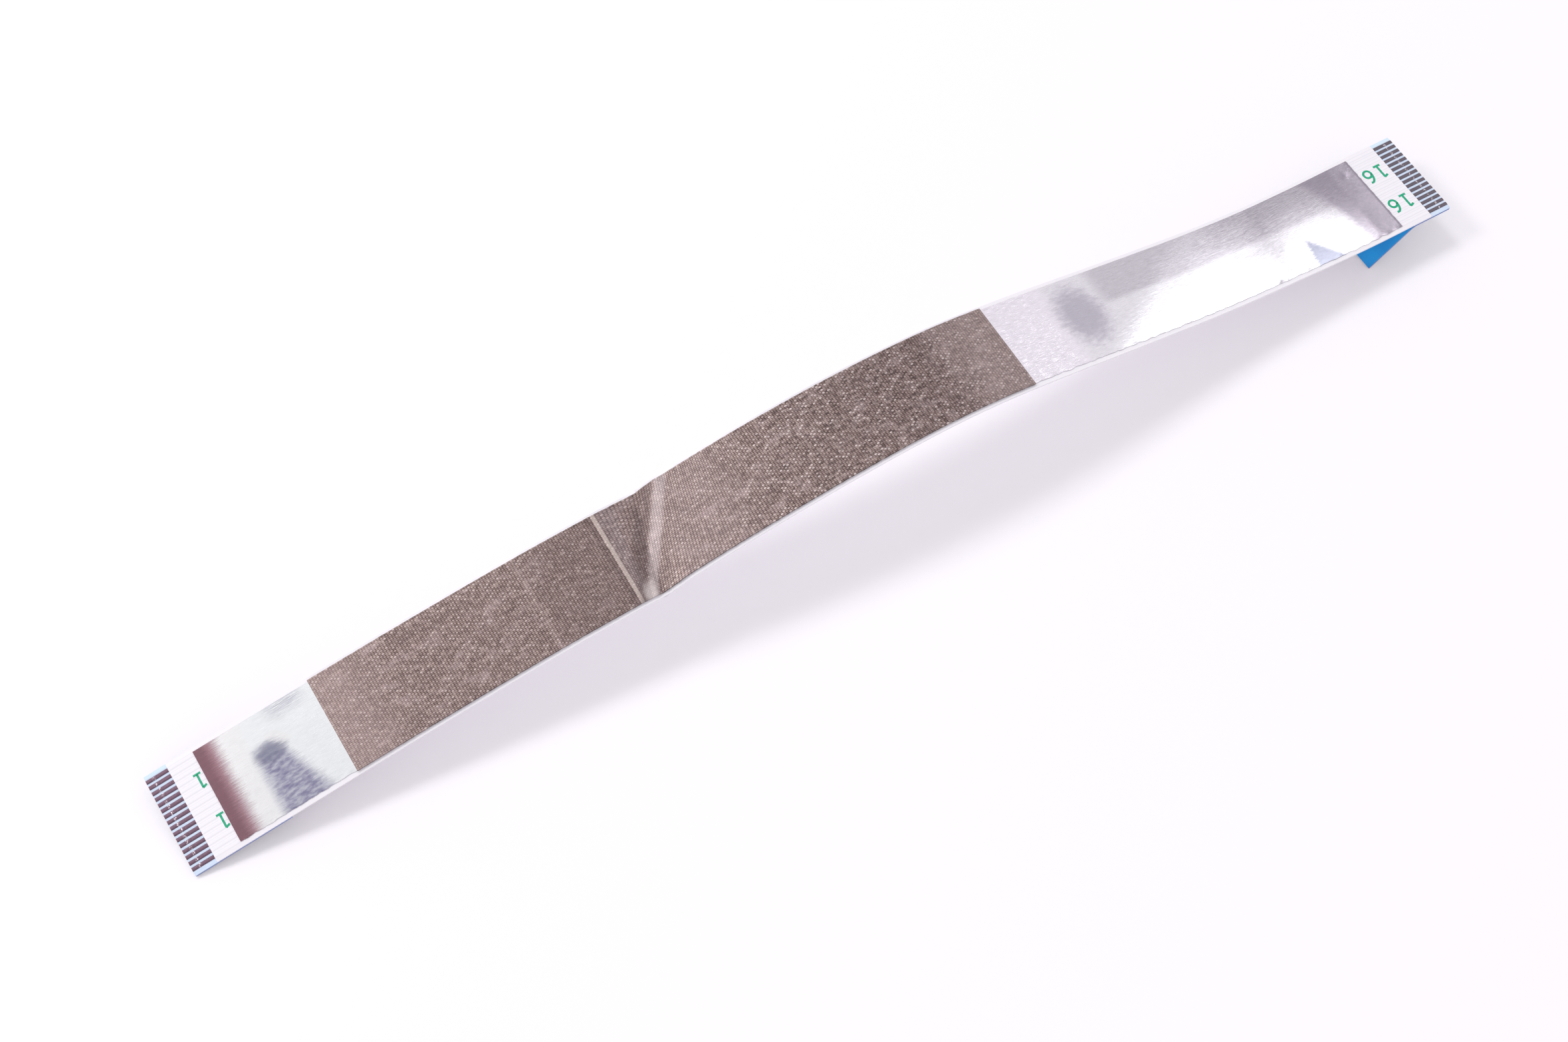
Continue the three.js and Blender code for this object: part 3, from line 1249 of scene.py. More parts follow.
@dataclass(frozen=True)
class ConductiveTape(Finish):
    """Woven polyester tape plated with a warm grey metal."""

    pitch: tuple[float, float]
    start: tuple[float, float]
    name: str = "Conductive tape"
    yarn: tuple = shade(146, 126, 121)
    # shadow is painted shade in the weave's hollows and also darkens the random flecks and dim
    # yarns; shine is a painted highlight on the crossings and also lightens the random flecks.
    shadow: tuple = shade(66, 52, 50)
    shine: tuple = shade(196, 178, 172)
    fold_slant: float = -0.36

    def dress(self, graph: Graph, surface: Any) -> None:
        """A plain weave with painted shade and highlights, blotches, painted glints on some yarns,
        duller yarns and a painted highlight on the crease ridge.

        Args:
            graph: the material's nodes.
            surface: the inputs of its shader.
        """
        flat = graph.flat_map()
        along, across = graph.axes(flat)
        moved = graph.node("Mapping", Vector=flat, Location=(-self.start[0], -self.start[1], 0))
        weave = graph.effect(
            WEAVE, Vector=moved.outputs[0], Pitch_Along=self.pitch[0], Pitch_Across=self.pitch[1]
        )
        # Painted shade in the weave's hollows and painted highlights on its crossings.
        colour = graph.mix(graph.step(weave["Height"], 0.2, 0.8), self.shadow, self.yarn)
        colour = graph.mix(graph.step(weave["Over"], 0.5, 0.95, (0, 0.55)), colour, self.shine)
        colour = graph.mix(graph.times(weave["Third"], 0.22), colour, shade(100, 82, 78))
        # Painted glints on the crossings of some yarns, crisper towards the right.
        crisp = graph.step(along, 44, 56, (0.5, 1))
        spark = graph.times(graph.step(weave["Yarn"], 0.72, 1.0, (0, 0.9)), crisp)
        colour = graph.mix(graph.times(spark, weave["Over"]), colour, shade(228, 214, 210))
        dim = graph.times(graph.step(weave["Yarn"], 0.0, 0.35, (0.65, 0)), crisp)
        colour = graph.mix(dim, colour, self.shadow)
        colour = self.blotches(graph, colour, along, across, flat)
        graph.feed(surface["Base Color"], colour)
        graph.feed(surface["Roughness"], graph.step(weave["Height"], 0.2, 0.9, (0.6, 0.42)))
        graph.feed(surface["Normal"], graph.bump(weave["Height"], 0.000012, 0.6))
        surface["Metallic"].default_value = 0.7

    def blotches(self, graph: Graph, colour: Feed, along: Feed, across: Feed, flat: Feed) -> Any:
        """Uneven plating and lighter or darker stretches along the tape, painted shade and
        highlights at the two creases, a painted sheen beyond them and a painted glint at the near
        edge.

        Args:
            graph: the material's nodes.
            colour: the weave's colour.
            along: the place along the cable.
            across: the place across it.
            flat: the place in the sheet.

        Returns:
            The colour with its marks.
        """
        cloud = graph.noise(graph.stretched(flat, (0.45, 0.9, 1)), 1.0, 5, 0.62)
        fleck = graph.noise(flat, 2.6, 4, 0.6)
        colour = graph.mix(graph.step(fleck, 0.36, 0.52, (0.3, 0)), colour, self.shadow)
        colour = graph.mix(graph.step(fleck, 0.52, 0.7, (0, 0.4)), colour, self.shine)
        colour = graph.mix(graph.step(cloud, 0.3, 0.5, (0.3, 0)), colour, shade(102, 86, 84))
        colour = graph.mix(graph.step(cloud, 0.5, 0.72, (0, 0.3)), colour, shade(196, 178, 178))
        slant = graph.math("MULTIPLY_ADD", across, self.fold_slant, along)
        for mark in TAPE_MARKS:
            value = slant if mark.slanted else along
            mask = graph.times(graph.between(value, mark.start, mark.end, mark.soft), mark.share)
            colour = graph.mix(mask, colour, mark.tone)
        # A painted glint on the near edge beside the creases.
        near = graph.spot(flat, (39.3, -3.7), (1.1, 1.1), 0.3)
        return graph.mix(graph.times(near, 0.45), colour, shade(236, 226, 224))


@dataclass(frozen=True)
class PrintInk(Finish):
    """Green screen-printing ink."""

    name: str = "Green ink"
    green: tuple = shade(10, 172, 126)

    def dress(self, graph: Graph, surface: Any) -> None:
        """Slightly uneven cover.

        Args:
            graph: the material's nodes.
            surface: the inputs of its shader.
        """
        cloud = graph.noise(graph.flat_map(), 9, 3)
        graph.feed(
            surface["Base Color"],
            graph.mix(graph.step(cloud, 0.4, 0.75, (0, 0.35)), self.green, shade(60, 176, 142)),
        )
        graph.feed(surface["Normal"], graph.bump(cloud, 0.000003))
        surface["Roughness"].default_value = 0.45


# Sub-assemblies


@dataclass
class Laminate:
    """The two films, the conductors between them and the printed marks."""

    stack: Stack
    bench: Bench
    ridge_height: float = 0.012
    valley_drop: float = 0.006
    margin_reach: tuple[float, float] = (0.32, 0.02)
    margin_drop: float = 0.03
    adhesive_top: float = -0.004
    adhesive_dip: float = 0.016
    lower_swell: float = 0.01
    crown: float = 0.45
    waver: float = 0.006
    pressed: tuple[float, float] = (0.95, 115.02)
    contact_dimple: float = 0.012
    dimple_spread: float = 0.0012
    ink: tuple[float, float] = (-0.004, 0.006)

    def film_top(self, across: Points) -> Points:
        """The cover film's upper face: ridges over the conductors and thinner margins.

        Args:
            across: places across the cable.

        Returns:
            One height a place.
        """
        start, end = (self.stack.half_width - reach for reach in self.margin_reach)
        rim = smooth_step(np.abs(across), start, end)
        base = self.stack.film_high - self.valley_drop - self.margin_drop * rim
        return base + self.ridge_height * self.stack.ridge(across)

    def rows(self, per_pitch: int) -> Points:
        """Evenly spaced rows across the whole cable."""
        count = (self.stack.conductors + 1) * per_pitch
        return np.linspace(-self.stack.half_width, self.stack.half_width, count + 1)

    def cover_film(self) -> bpy.types.Object:
        """The upper film, which leaves the contacts bare.

        Returns:
            The piece.
        """
        stack = self.stack
        start, end = stack.left_contacts, stack.length - stack.right_contacts
        blank = Blank(spread_lines(start, end, 0.9), self.rows(8), 0.0, stack.film_high)

        def relief(flat: Points) -> Points:
            """Raises the upper face over the conductors.

            Args:
                flat: the piece's flat points.

            Returns:
                The same points, moved.
            """
            top = flat[:, 2] > stack.film_high / 2
            flat[top, 2] = self.film_top(flat[top, 1])
            return flat

        mesh = self.bench.lay(blank.mesh("film_top"), relief)
        return self.bench.show(mesh, CoverFilm(stack), Slot.FILM, ["top_film"])

    def base_film(self) -> bpy.types.Object:
        """The lower film with its adhesive, between whose lines the contacts stand.

        Returns:
            The piece.
        """
        stack = self.stack
        cuts = spread_lines(0, stack.length, 1.0)
        blank = Blank(cuts, self.rows(6), -stack.film_high, self.adhesive_top)

        def relief(flat: Points) -> Points:
            """Sinks the adhesive under the conductors and lifts the lower face between them.

            Args:
                flat: the piece's flat points.

            Returns:
                The same points, moved.
            """
            top = flat[:, 2] > -stack.film_high / 2
            flat[top, 2] -= self.adhesive_dip * stack.ridge(flat[top, 1])
            flat[~top, 2] += self.lower_swell - self.lower_swell * stack.ridge(flat[~top, 1])
            return flat

        mesh = self.bench.lay(blank.mesh("film_bottom"), relief)
        return self.bench.show(mesh, BaseFilm(stack), Slot.FILM, ["bottom_film"])

    def conductor(self, number: int) -> bpy.types.Object:
        """One flat conductor with crowned edges and a dimple where a spring pressed.

        Args:
            number: which one, from the near edge.

        Returns:
            The piece.
        """
        stack = self.stack
        middle, half = stack.middle_of(number), stack.conductor_width / 2
        rng = np.random.default_rng(100 + number)
        pressed = [place + rng.uniform(-0.04, 0.04) for place in self.pressed]
        offset = rng.uniform(-0.03, 0.03)
        near = [at + step for at in pressed for step in DIMPLE_STEPS]
        cuts = np.unique(np.concatenate([spread_lines(0, stack.length, 1.0), near]))
        rows = middle + half * np.array(CROWN_ROWS)
        blank = Blank(cuts, rows, -stack.conductor_top, stack.conductor_top)

        def relief(flat: Points) -> Points:
            """Crowns both faces, wavers the edges and presses the dimples.

            Args:
                flat: the piece's flat points.

            Returns:
                The same points, moved.
            """
            share = np.abs(flat[:, 1] - middle) / half
            flat[:, 2] *= 1 - self.crown * share**4
            flat[:, 1] += self.waver * edge_waves(flat, 2.5, number) * share
            for at in pressed:
                away = (flat[:, 0] - at) ** 2 + (flat[:, 1] - middle - offset) ** 2
                dimple = self.contact_dimple * np.exp(-away / self.dimple_spread)
                flat[:, 2] -= (flat[:, 2] > 0) * dimple
            return flat

        name = f"conductor_{number:02d}"
        mesh = self.bench.lay(blank.mesh(f"tinned_{name}"), relief)
        return self.bench.show(mesh, TinnedCopper(stack), Slot.CONDUCTOR, [name])

    def mark(
        self, name: str, lettering: "Lettering", words: str, middles: Sequence[tuple[float, float]]
    ) -> bpy.types.Object:
        """A number printed at several places, following the film's ridges.

        Args:
            name: the piece's name.
            lettering: how its digits are drawn.
            words: the number.
            middles: the flat places of its middles.

        Returns:
            The piece.
        """
        ink = bmesh.new()
        for middle in middles:
            for stroke in lettering.text(words, middle):
                draw_stroke(ink, stroke, lettering.stroke)

        def relief(flat: Points) -> Points:
            """Lays the ink on the film.

            Args:
                flat: the piece's flat points.

            Returns:
                The same points, moved.
            """
            low, high = self.ink
            flat[:, 2] = self.film_top(flat[:, 1]) + np.where(flat[:, 2] > 0, high, low)
            return flat

        mesh = self.bench.lay(finished(ink, name), relief)
        return self.bench.show(mesh, PrintInk(), Slot.FILM)

    def build(self) -> list[bpy.types.Object]:
        """Builds every piece, the base film first.

        Returns:
            The pieces.
        """
        pieces = [self.base_film(), self.cover_film()]
        pieces += [self.conductor(i + 1) for i in range(self.stack.conductors)]
        left = Lettering(1.25, 0.17)
        pieces.append(self.mark("print_left", left, "1", [(3.5, 1.7), (3.6, -1.82)]))
        right = Lettering(1.4, 0.2)
        pieces.append(self.mark("print_right", right, "16", [(112.5, 1.6), (112.5, -1.9)]))
        return pieces


def draw_stroke(shell: bmesh.types.BMesh, line: Points, width: float) -> None:
    """Adds one flat printed stroke.

    Args:
        shell: where it is added.
        line: its middle line.
        width: its width.
    """
    ahead = np.gradient(line, axis=0)
    ahead /= np.linalg.norm(ahead, axis=1)[:, None]
    side = np.stack([-ahead[:, 1], ahead[:, 0]], axis=1) * width / 2
    ends = [shell.verts.new((*(line[0] + side[0] * turn), -1.0)) for turn in (-1, 0, 1)]
    rim = [shell.edges.new(pair) for pair in zip(ends, ends[1:])]
    faces: list[bmesh.types.BMFace] = []
    for middle, across in zip(line[1:], side[1:]):
        moved = bmesh.ops.extrude_edge_only(shell, edges=rim)["geom"]
        faces += [face for edge in rim for face in edge.link_faces]
        verts = [item for item in moved if isinstance(item, bmesh.types.BMVert)]
        rim = [item for item in moved if isinstance(item, bmesh.types.BMEdge)]
        rim = [edge for edge in rim if all(vertex in verts for vertex in edge.verts)]
        verts.sort(key=lambda vertex: (vertex.co.xy - ends[0].co.xy).length)
        for vertex, turn in zip(verts, (-1, 0, 1)):
            vertex.co = (*(middle + across * turn), -1.0)
        ends = verts
    faces += [face for edge in rim for face in edge.link_faces]
    faces = list(dict.fromkeys(faces))
    raised = bmesh.ops.extrude_face_region(shell, geom=faces)["geom"]
    top = [item for item in raised if isinstance(item, bmesh.types.BMVert)]
    bmesh.ops.translate(shell, vec=(0, 0, 2), verts=top)
    bmesh.ops.recalc_face_normals(shell, faces=shell.faces)


@dataclass(frozen=True)
class Lettering:
    """Plain numbers drawn with strokes, upright towards one side of the cable."""

    height: float
    stroke: float
    up: tuple[float, float] = (0.0, -1.0)
    spacing: float = 0.88

    def text(self, words: str, middle: tuple[float, float]) -> list[Points]:
        """The strokes of a number.

        Args:
            words: its digits, 1 or 6.
            middle: the flat place of its middle.

        Returns:
            The middle line of each stroke, in flat millimetres.
        """
        up = np.array(self.up)
        right = np.array([up[1], -up[0]])
        strokes = []
        for place, digit in enumerate(words):
            shift = (place - (len(words) - 1) / 2) * self.spacing
            for line in self.digit(digit):
                spot = (line[:, :1] + shift) * right + (line[:, 1:] - 0.5) * up
                strokes.append(np.array(middle) + spot * self.height)
        return strokes

    def digit(self, digit: str) -> list[Points]:
        """One digit's strokes, with its foot at 0 and its head at 1.

        Args:
            digit: 1 or 6.

        Returns:
            The middle line of each stroke.
        """
        if digit == "1":
            return [
                straight((0, 0.06), (0, 0.94)),
                straight((-0.24, 0.05), (0.24, 0.05)),
                straight((-0.26, 0.86), (0.03, 0.96)),
            ]
        turn = np.linspace(0, 2 * math.pi, 25)
        bowl = np.stack([0.25 * np.sin(turn), 0.31 + 0.26 * np.cos(turn)], axis=1)
        rise = np.linspace(math.radians(180), math.radians(75), 12)
        stem = np.stack([0.06 + 0.31 * np.cos(rise), 0.34 + 0.61 * np.sin(rise)], axis=1)
        return [bowl, stem]


def straight(start: tuple[float, float], end: tuple[float, float]) -> Points:
    """A straight line in short steps."""
    return np.linspace(start, end, 12)


@dataclass
class Stiffeners:
    """The blue plate under the left end and the pull tab under the right end."""

    stack: Stack
    bench: Bench
    left_length: float = 8.0
    bond_length: float = 3.4
    bend_radius: float = 1.0
    fold: float = 44.0
    right_climb: float = -1.0
    rounding: float = 0.025

    def finishes(self) -> list[Finish]:
        """Face, long edges in a greyer lavender blue, and end edge in a paler blue that is a
        painted reflection.

        Returns:
            The finishes, by the material numbers of the faces.
        """
        return [
            BluePlastic(),
            CutBlueEdge("Sheared side", shade(116, 138, 206)),
            # The cut end's paler blue is a painted reflection.
            CutBlueEdge("Cut end painted reflection", shade(150, 205, 240)),
        ]

    def left_plate(self) -> bpy.types.Object:
        """The plate under the left end.

        Returns:
            The piece.
        """
        stack = self.stack
        rows = np.linspace(-stack.half_width, stack.half_width, 9)
        blank = Blank(
            spread_lines(0, self.left_length, 1.0), rows, stack.stiffener_low, stack.stiffener_high
        )
        shell = blank.shell()
        round_rims(shell, self.rounding)
        mark_edges(shell, stack.half_width)
        mesh = self.bench.lay(finished(shell, "stiffener_plate"))
        return self.bench.show(mesh, self.finishes(), Slot.STIFFENER, ["left_stiffener"])

    def pull_tab(self) -> bpy.types.Object:
        """The right plate, turned down round its bend until its edge stands on the table.

        Returns:
            The piece.
        """
        stack = self.stack
        thickness = stack.stiffener_high - stack.stiffener_low
        half, middle = thickness / 2, (stack.stiffener_high + stack.stiffener_low) / 2
        fold = math.radians(self.fold)
        dive = fold + math.radians(self.right_climb)
        matrix = self.bench.route.end_matrix()
        bend = Vector((-self.bond_length, 0, middle - self.bend_radius))
        turned = Matrix.Rotation(-fold, 4, "Y")
        exit_point = bend + turned @ Vector((0, 0, self.bend_radius))
        height = (matrix @ exit_point).z
        tab_length = (height - half * math.cos(dive)) / math.sin(dive)

        shell = bmesh.new()
        corners = ((-1, -1), (1, -1), (1, 1), (-1, 1))
        section = shell.faces.new(
            [shell.verts.new((0, y * stack.half_width, middle + z * half)) for y, z in corners]
        )
        top = pull(shell, [section], Vector((-self.bond_length, 0, 0)), 4)
        ring = bmesh.ops.spin(
            shell,
            geom=top,
            cent=bend,
            axis=(0, 1, 0),
            angle=-fold,
            steps=10,
            use_duplicate=False,
        )["geom_last"]
        last = [item for item in ring if isinstance(item, bmesh.types.BMFace)]
        pull(shell, last, turned @ Vector((-tab_length, 0, 0)), 6)
        bmesh.ops.remove_doubles(shell, verts=shell.verts, dist=0.0001)
        bmesh.ops.recalc_face_normals(shell, faces=shell.faces)
        round_rims(shell, self.rounding)
        mark_edges(shell, stack.half_width)
        mesh = finished(shell, "pull_tab")
        self.bench.map_flat(mesh, points_of(mesh))
        mesh.transform(Matrix.Scale(MM, 4) @ matrix)
        mesh.update()
        return self.bench.show(mesh, self.finishes(), Slot.STIFFENER, ["pull_tab_stiffener"])

    def build(self) -> list[bpy.types.Object]:
        """Builds both plates."""
        return [self.left_plate(), self.pull_tab()]


def pull(
    shell: bmesh.types.BMesh, faces: list[bmesh.types.BMFace], way: Vector, steps: int
) -> list[bmesh.types.BMFace]:
    """Extrudes faces in even steps.

    Args:
        shell: what they belong to.
        faces: the faces that move.
        way: how far they move in all.
        steps: in how many steps.

    Returns:
        The faces at the far end.
    """
    for _ in range(steps):
        moved = bmesh.ops.extrude_face_region(shell, geom=faces)["geom"]
        old = [face for face in faces if face.is_valid]
        faces = [item for item in moved if isinstance(item, bmesh.types.BMFace)]
        verts = [item for item in moved if isinstance(item, bmesh.types.BMVert)]
        bmesh.ops.translate(shell, vec=way / steps, verts=verts)
        if old and all(len(edge.link_faces) > 2 for face in old for edge in face.edges):
            bmesh.ops.delete(shell, geom=old, context="FACES_ONLY")
    return faces


def round_rims(shell: bmesh.types.BMesh, width: float) -> None:
    """Rounds the sharp rims of a plate.

    Args:
        shell: the plate.
        width: how far the rounding reaches.
    """
    shell.normal_update()
    rims = [edge for edge in shell.edges if edge.calc_face_angle(0) > math.radians(60)]
    bmesh.ops.bevel(
        shell,
        geom=rims,
        offset=width,
        offset_type="OFFSET",
        affect="EDGES",
        segments=2,
        profile=0.5,
        material=-1,
    )


def mark_edges(shell: bmesh.types.BMesh, half_width: float) -> None:
    """Gives a plate's cut edges their own material numbers.

    Args:
        shell: the plate.
        half_width: where its long edges are.
    """
    shell.normal_update()
    for face in shell.faces:
        if abs(face.normal.y) > 0.7 and abs(face.calc_center_median().y) > half_width - 0.01:
            face.material_index = SIDE_MATERIAL
        elif is_cut_end(face):
            face.material_index = END_MATERIAL


def is_cut_end(face: bmesh.types.BMFace) -> bool:
    """Whether a face is a plate's cut end: a wide one that looks along the cable.

    Args:
        face: one of the plate's faces.

    Returns:
        Whether it is one.
    """
    looks_along = abs(face.normal.y) < 0.3 and abs(face.normal.x) > 0.5
    longest = max(edge.calc_length() for edge in face.edges)
    return looks_along and longest < 9 and face.calc_area() > 1.0 and len(face.verts) > 4


@dataclass(frozen=True)
class FoilRelief:
    """The unevenness of the foil's bare stretches, in millimetres."""

    edge: float
    tape: tuple[float, float]
    end: float
    ripple: float = 0.0014
    wrinkle: float = 0.0003
    crinkle: float = 0.006
    crinkle_sink: float = 0.002
    crinkle_reach: float = 0.3
    edge_waver: float = 0.035
    torn_reach: float = 0.15
    torn_waver: float = 0.025
    torn_lift: float = 0.008
    swell: float = 0.006
    fold: float = 0.01
    nick: float = 0.012
    nick_place: tuple[float, float] = (110.0, 2.8)
    deepest: float = -0.012

    def __call__(self, flat: Points) -> Points:
        """Ripples, a crinkled near edge, the end's ragged cut and a few marks.

        Args:
            flat: the flat foil's points.

        Returns:
            The same points, moved.
        """
        at, across = flat[:, 0].copy(), flat[:, 1].copy()
        start, stop = self.tape
        bare = 1 - smooth_step(at, start, start + 1) + smooth_step(at, stop - 1, stop)
        height = self.ripple * waves(flat, (9.0, 3.0), 3)
        height += self.wrinkle * waves(flat, (3.0, 0.8), 4)
        near = smooth_step(-across, self.edge - self.crinkle_reach, self.edge)
        height += near * (self.crinkle * edge_waves(flat, 0.8, 5) - self.crinkle_sink)
        flat[:, 1] += near * self.edge_waver * edge_waves(flat, 0.7, 6)
        torn = smooth_step(at, self.end - self.torn_reach, self.end)
        flat[:, 0] += torn * self.torn_waver * waves(flat * [0, 1, 1], (1.0, 0.35), 7)
        height += torn * self.torn_lift + self.marks(at, across)
        flat[:, 2] += np.maximum(bare * height, self.deepest)
        return flat

    def marks(self, at: Points, across: Points) -> Points:
        """A low swell and a fold behind the tape, and the burr round a small nick.

        Args:
            at: places along the cable.
            across: places across it.

        Returns:
            One height a point.
        """
        swell = self.swell * hump(at, 77.6, 0.35) * hump(across, 0.6, 1.4)
        fold = self.fold * hump(at, 82.8, 0.2) * smooth_step(across, 0.8, 1.6)
        away = np.hypot(at - self.nick_place[0], across - self.nick_place[1])
        return swell + fold + self.nick * hump(away, 0.2, 0.07)


@dataclass(frozen=True)
class TapeRelief:
    """The tape's weave, its unevenness and its two creases, in millimetres."""

    start: float
    edge: float
    middle: float
    pitch: tuple[float, float]
    weave: float = 0.012
    ripple: float = 0.004
    fray: float = 0.008
    deepest: float = -0.018

    def __call__(self, flat: Points) -> Points:
        """Raises the crossings, wavers the long edges and folds the creases.

        Args:
            flat: the flat tape's points.

        Returns:
            The same points, moved.
        """
        u = np.sin(math.pi * (flat[:, 0] - self.start) / self.pitch[0])
        v = np.sin(math.pi * (flat[:, 1] + self.edge) / self.pitch[1])
        crossing = 0.5 * np.abs(u * v) + 0.5 * u * v
        height = np.where(flat[:, 2] > self.middle, self.weave * (crossing - 0.5), 0)
        height += self.ripple * waves(flat, (7.0, 4.0), 11) + self.crease(flat[:, 0])
        rim = np.abs(flat[:, 1]) > self.edge - 0.01
        flat[:, 1] += self.fray * edge_waves(flat, 0.5, 12) * rim
        flat[:, 2] += np.maximum(height, self.deepest)
        return flat

    def crease(self, at: Points) -> Points:
        """The height that the two creases add. The second one's lean is the route's."""
        folded = 0.02 * hump(at, 40.75, 0.2) - 0.014 * hump(at, 40.3, 0.2)
        return 0.016 * hump(at, 37.8, 0.16) + folded


@dataclass
class Shield:
    """The aluminium foil and the woven tape over it."""

    stack: Stack
    bench: Bench
    foil_start: float = 4.0
    foil_end: float = 111.1
    foil_margin: float = 0.35
    tape_start: float = 13.7
    tape_length: float = 59.0
    tape_margin: float = 0.25
    yarns: tuple[float, float] = (0.217, 0.1375)

    @cached_property
    def tape_end(self) -> float:
        """Where the tape ends."""
        return self.tape_start + self.tape_length

    def foil(self) -> bpy.types.Object:
        """The foil, slightly rippled, with a crinkled near edge and a torn right end.

        Returns:
            The piece.
        """
        stack = self.stack
        edge = stack.half_width - self.foil_margin
        rim = np.array([0, 0.05, 0.12, 0.22, 0.36])
        inner = spread_lines(-edge + 0.55, edge - 0.55, 0.26)
        rows = np.concatenate([-edge + rim, inner, edge - rim[::-1]])
        left = spread_lines(self.foil_start, self.tape_start + 0.6, 0.14)
        middle = spread_lines(self.tape_start + 0.6, self.tape_end - 0.6, 1.0)[1:-1]
        right = spread_lines(self.tape_end - 0.6, self.foil_end - 0.2, 0.24)
        last = self.foil_end - np.array([0.15, 0.1, 0.05, 0.0])
        blank = Blank(
            np.concatenate([left, middle, right, last]), rows, stack.foil_low, stack.foil_high
        )

        relief = FoilRelief(edge, (self.tape_start, self.tape_end), self.foil_end)
        mesh = self.bench.lay(blank.mesh("foil_shield"), relief)
        return self.bench.show(mesh, ShieldFoil(), Slot.FOIL, ["shield_foil"])

    def woven(self, edge: float, pitch: tuple[float, float]) -> bmesh.types.BMesh:
        """The flat tape, ruled at every yarn above and only across below.

        Args:
            edge: half of its width.
            pitch: a yarn's width along the cable and across it.

        Returns:
            The closed sheet.
        """
        stack, start = self.stack, self.tape_start
        cuts = spread_lines(start, self.tape_end, pitch[0] / 2)
        rows = spread_lines(-edge, edge, pitch[1] / 2)
        shell = Blank(cuts, rows, stack.tape_low, stack.tape_high).shell()
        spare = [
            line
            for line in shell.edges
            if all(vertex.co.z < stack.tape_low + 0.01 for vertex in line.verts)
            and abs(line.verts[0].co.x - line.verts[1].co.x) > 0.01
            and abs(line.verts[0].co.y) < edge - 0.01
        ]
        bmesh.ops.dissolve_edges(shell, edges=spare, use_verts=True)
        return shell

    def tape(self) -> bpy.types.Object:
        """The woven tape, with a bump at each crossing and two creases.

        Returns:
            The piece.
        """
        stack = self.stack
        edge = stack.half_width - self.tape_margin
        counts = (round(self.tape_length / self.yarns[0]), round(2 * edge / self.yarns[1]))
        pitch = (self.tape_length / counts[0], 2 * edge / counts[1])

        relief = TapeRelief(self.tape_start, edge, (stack.tape_low + stack.tape_high) / 2, pitch)
        mesh = self.bench.lay(finished(self.woven(edge, pitch), "woven_tape"), relief)
        finish = ConductiveTape(pitch, (self.tape_start, -edge))
        return self.bench.show(mesh, finish, Slot.TAPE, ["shield_tape"], sharp=60)

    def build(self) -> list[bpy.types.Object]:
        """Builds the foil and the tape."""
        return [self.foil(), self.tape()]


# The studio


class Shape(Enum):
    """The outline of a soft light."""

    RECTANGLE = "RECTANGLE"
    ROUND = "ELLIPSE"


@dataclass(frozen=True)
class Softbox:
    """A soft light, aimed at the middle of the cable."""

    name: str
    towards: tuple[float, float, float]
    distance: float
    size: tuple[float, float]
    power: float
    colour: tuple[float, float, float] = (1.0, 1.0, 1.0)
    shape: Shape = Shape.RECTANGLE

    def build(self) -> bpy.types.Object:
        """Hangs the light.

        Returns:
            The light.
        """
        data = bpy.data.lights.new(self.name, "AREA")
        data.shape = self.shape.value
        data.size, data.size_y = self.size
        data.energy = self.power
        data.color = self.colour
        light = bpy.data.objects.new(self.name, data)
        away = Vector(self.towards).normalized()
        turn = away.to_track_quat("Z", "Y").to_matrix().to_4x4()
        light.matrix_world = Matrix.Translation(away * self.distance) @ turn
        bpy.context.scene.collection.objects.link(light)
        return light


@dataclass(frozen=True)
class PhotoCamera:
    """A camera at the picture's viewing angle. Angles are in degrees and lengths in metres."""

    azimuth: float = -33.495
    elevation: float = 61.374
    roll: float = 3.028
    distance: float = 0.176
    aim: tuple[float, float, float] = (-0.005508, -0.000321, 0.0)
    focal: float = 51.215

    def build(self) -> bpy.types.Object:
        """Sets the camera up.

        Returns:
            The camera.
        """
        azimuth, elevation = math.radians(self.azimuth), math.radians(self.elevation)
        level = math.cos(elevation)
        back = Vector((math.sin(azimuth) * level, -math.cos(azimuth) * level, math.sin(elevation)))
        right = Vector((0, 0, 1)).cross(back).normalized()
        matrix = Matrix((right, back.cross(right), back)).transposed().to_4x4()
        matrix = matrix @ Matrix.Rotation(math.radians(self.roll), 4, "Z")
        matrix.translation = Vector(self.aim) + back * self.distance
        data = bpy.data.cameras.new("camera")
        data.sensor_width = 36
        data.lens = self.focal
        data.clip_start, data.clip_end = 0.005, 20
        camera = bpy.data.objects.new("camera", data)
        camera.matrix_world = matrix
        bpy.context.scene.collection.objects.link(camera)
        bpy.context.scene.camera = camera
        return camera


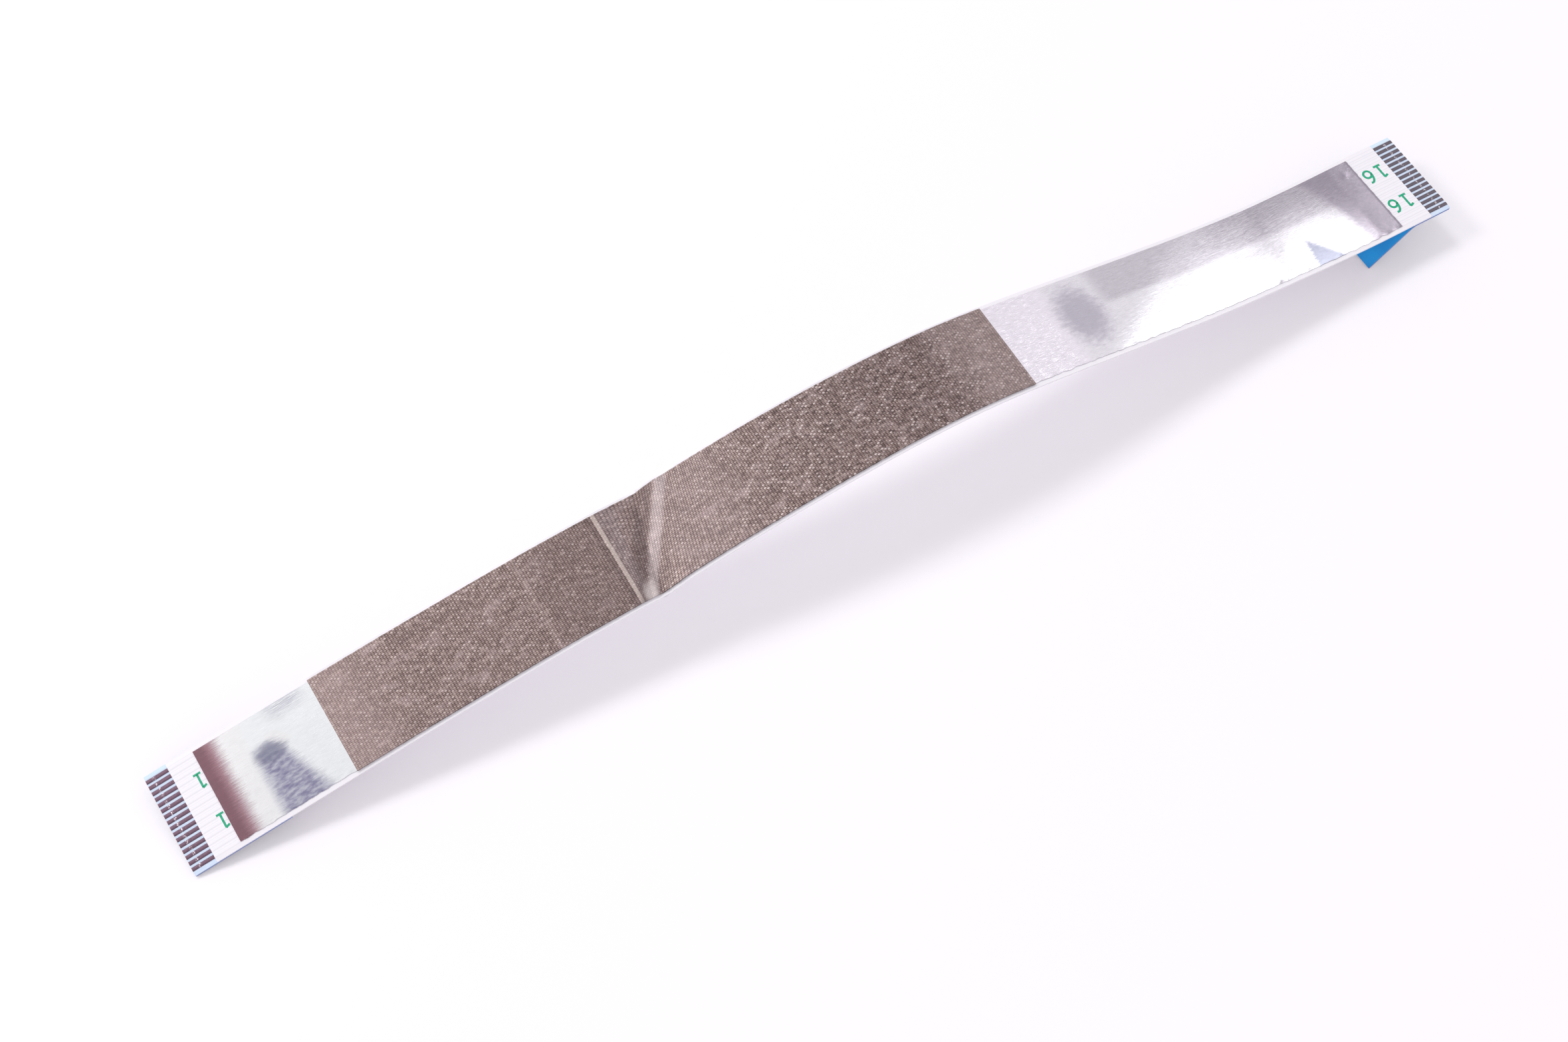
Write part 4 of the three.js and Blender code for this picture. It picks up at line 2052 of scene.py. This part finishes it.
@dataclass
class Studio:
    """The pale floor, the surroundings, the lights and the camera."""

    floor_size: float = 3.0
    floor_glow: float = 0.08
    floor_drop: float = 0.00002
    table: tuple = shade(250, 248, 251)
    low_sky: tuple = shade(226, 220, 226)
    high_sky: tuple = shade(221, 219, 223)
    dim_sky: tuple = shade(213, 208, 215)
    dim_side: tuple[float, float, float] = (0.56, 0.38, 0.74)
    lights: tuple[Softbox, ...] = (
        Softbox("main_light", (-0.612, 0.354, 0.707), 0.7, (0.15, 0.15), 0.85, (1.0, 0.985, 0.97)),
        Softbox("back_light", (-0.13, 0.47, 0.87), 0.7, (0.17, 0.17), 0.75),
        Softbox("right_light", (0.582, 0.255, 0.53), 0.827, (0.19, 0.19), 0.18, shape=Shape.ROUND),
    )

    def floor(self) -> bpy.types.Object:
        """A plain white table top.

        Returns:
            The floor.
        """
        shell = bmesh.new()
        bmesh.ops.create_grid(shell, x_segments=1, y_segments=1, size=self.floor_size / 2)
        bmesh.ops.translate(shell, vec=(0, 0, -self.floor_drop), verts=shell.verts)
        floor = bpy.data.objects.new("floor", finished(shell, "floor"))
        bpy.context.scene.collection.objects.link(floor)
        material = bpy.data.materials.new("White table")
        material.use_nodes = True
        graph = Graph(material.node_tree)
        seen = self.seen(graph)
        diffuse = graph.node("BsdfDiffuse", Color=self.table)
        glow = graph.node(
            "Emission",
            Color=(1.0, 0.985, 1.0, 1.0),
            Strength=graph.times(seen, self.floor_glow),
        )
        both = graph.node("AddShader")
        graph.feed(both.inputs[0], diffuse.outputs[0])
        graph.feed(both.inputs[1], glow.outputs[0])
        graph.node("OutputMaterial", Surface=both.outputs[0])
        floor.data.materials.append(material)
        return floor

    def seen(self, graph: Graph) -> bpy.types.NodeSocket:
        """1 for the rays that see the background.

        Args:
            graph: the material's nodes.

        Returns:
            The mask.
        """
        path = graph.node("LightPath").outputs
        seen = graph.math("MAXIMUM", path["Is Camera Ray"], path["Is Transmission Ray"])
        return graph.math("MAXIMUM", seen, path["Is Glossy Ray"])

    def surroundings(self) -> None:
        """A soft even sky with one dimmer side, which is white where it is seen."""
        world = bpy.data.worlds.new("surroundings")
        bpy.context.scene.world = world
        world.use_nodes = True
        graph = Graph(world.node_tree)
        direction = graph.node("TexCoord").outputs["Generated"]
        height = graph.node("SeparateXYZ", Vector=direction).outputs["Z"]
        sky = graph.mix(graph.step(height, 0.05, 0.95), self.low_sky, self.high_sky)
        turned = graph.node("VectorMath", {"operation": "DOT_PRODUCT"})
        graph.feed(turned.inputs[0], direction)
        turned.inputs[1].default_value = self.dim_side
        sky = graph.mix(graph.step(turned.outputs["Value"], 0.93, 0.99), sky, self.dim_sky)
        seen = graph.node("LightPath").outputs["Is Camera Ray"]
        background = graph.node("Background", Color=graph.mix(seen, sky, (1, 1, 1, 1)))
        graph.node("OutputWorld", Surface=background.outputs[0])

    def build(self) -> None:
        """Sets everything up."""
        PhotoCamera().build()
        self.surroundings()
        self.floor()
        for light in self.lights:
            light.build()
        bpy.context.scene.view_settings.view_transform = "Standard"


def main() -> None:
    """Builds the studio and then the cable, layer by layer."""
    logging.basicConfig(level=logging.INFO, format="%(name)s: %(message)s")
    Studio().build()
    stack = Stack()
    route = Route(stack)
    bench = Bench(route)
    pieces: list[bpy.types.Object] = []
    for assembly in (Laminate(stack, bench), Stiffeners(stack, bench), Shield(stack, bench)):
        made = assembly.build()
        log.info("%s: %d pieces", type(assembly).__name__, len(made))
        pieces += made


if __name__ == "__main__":
    main()
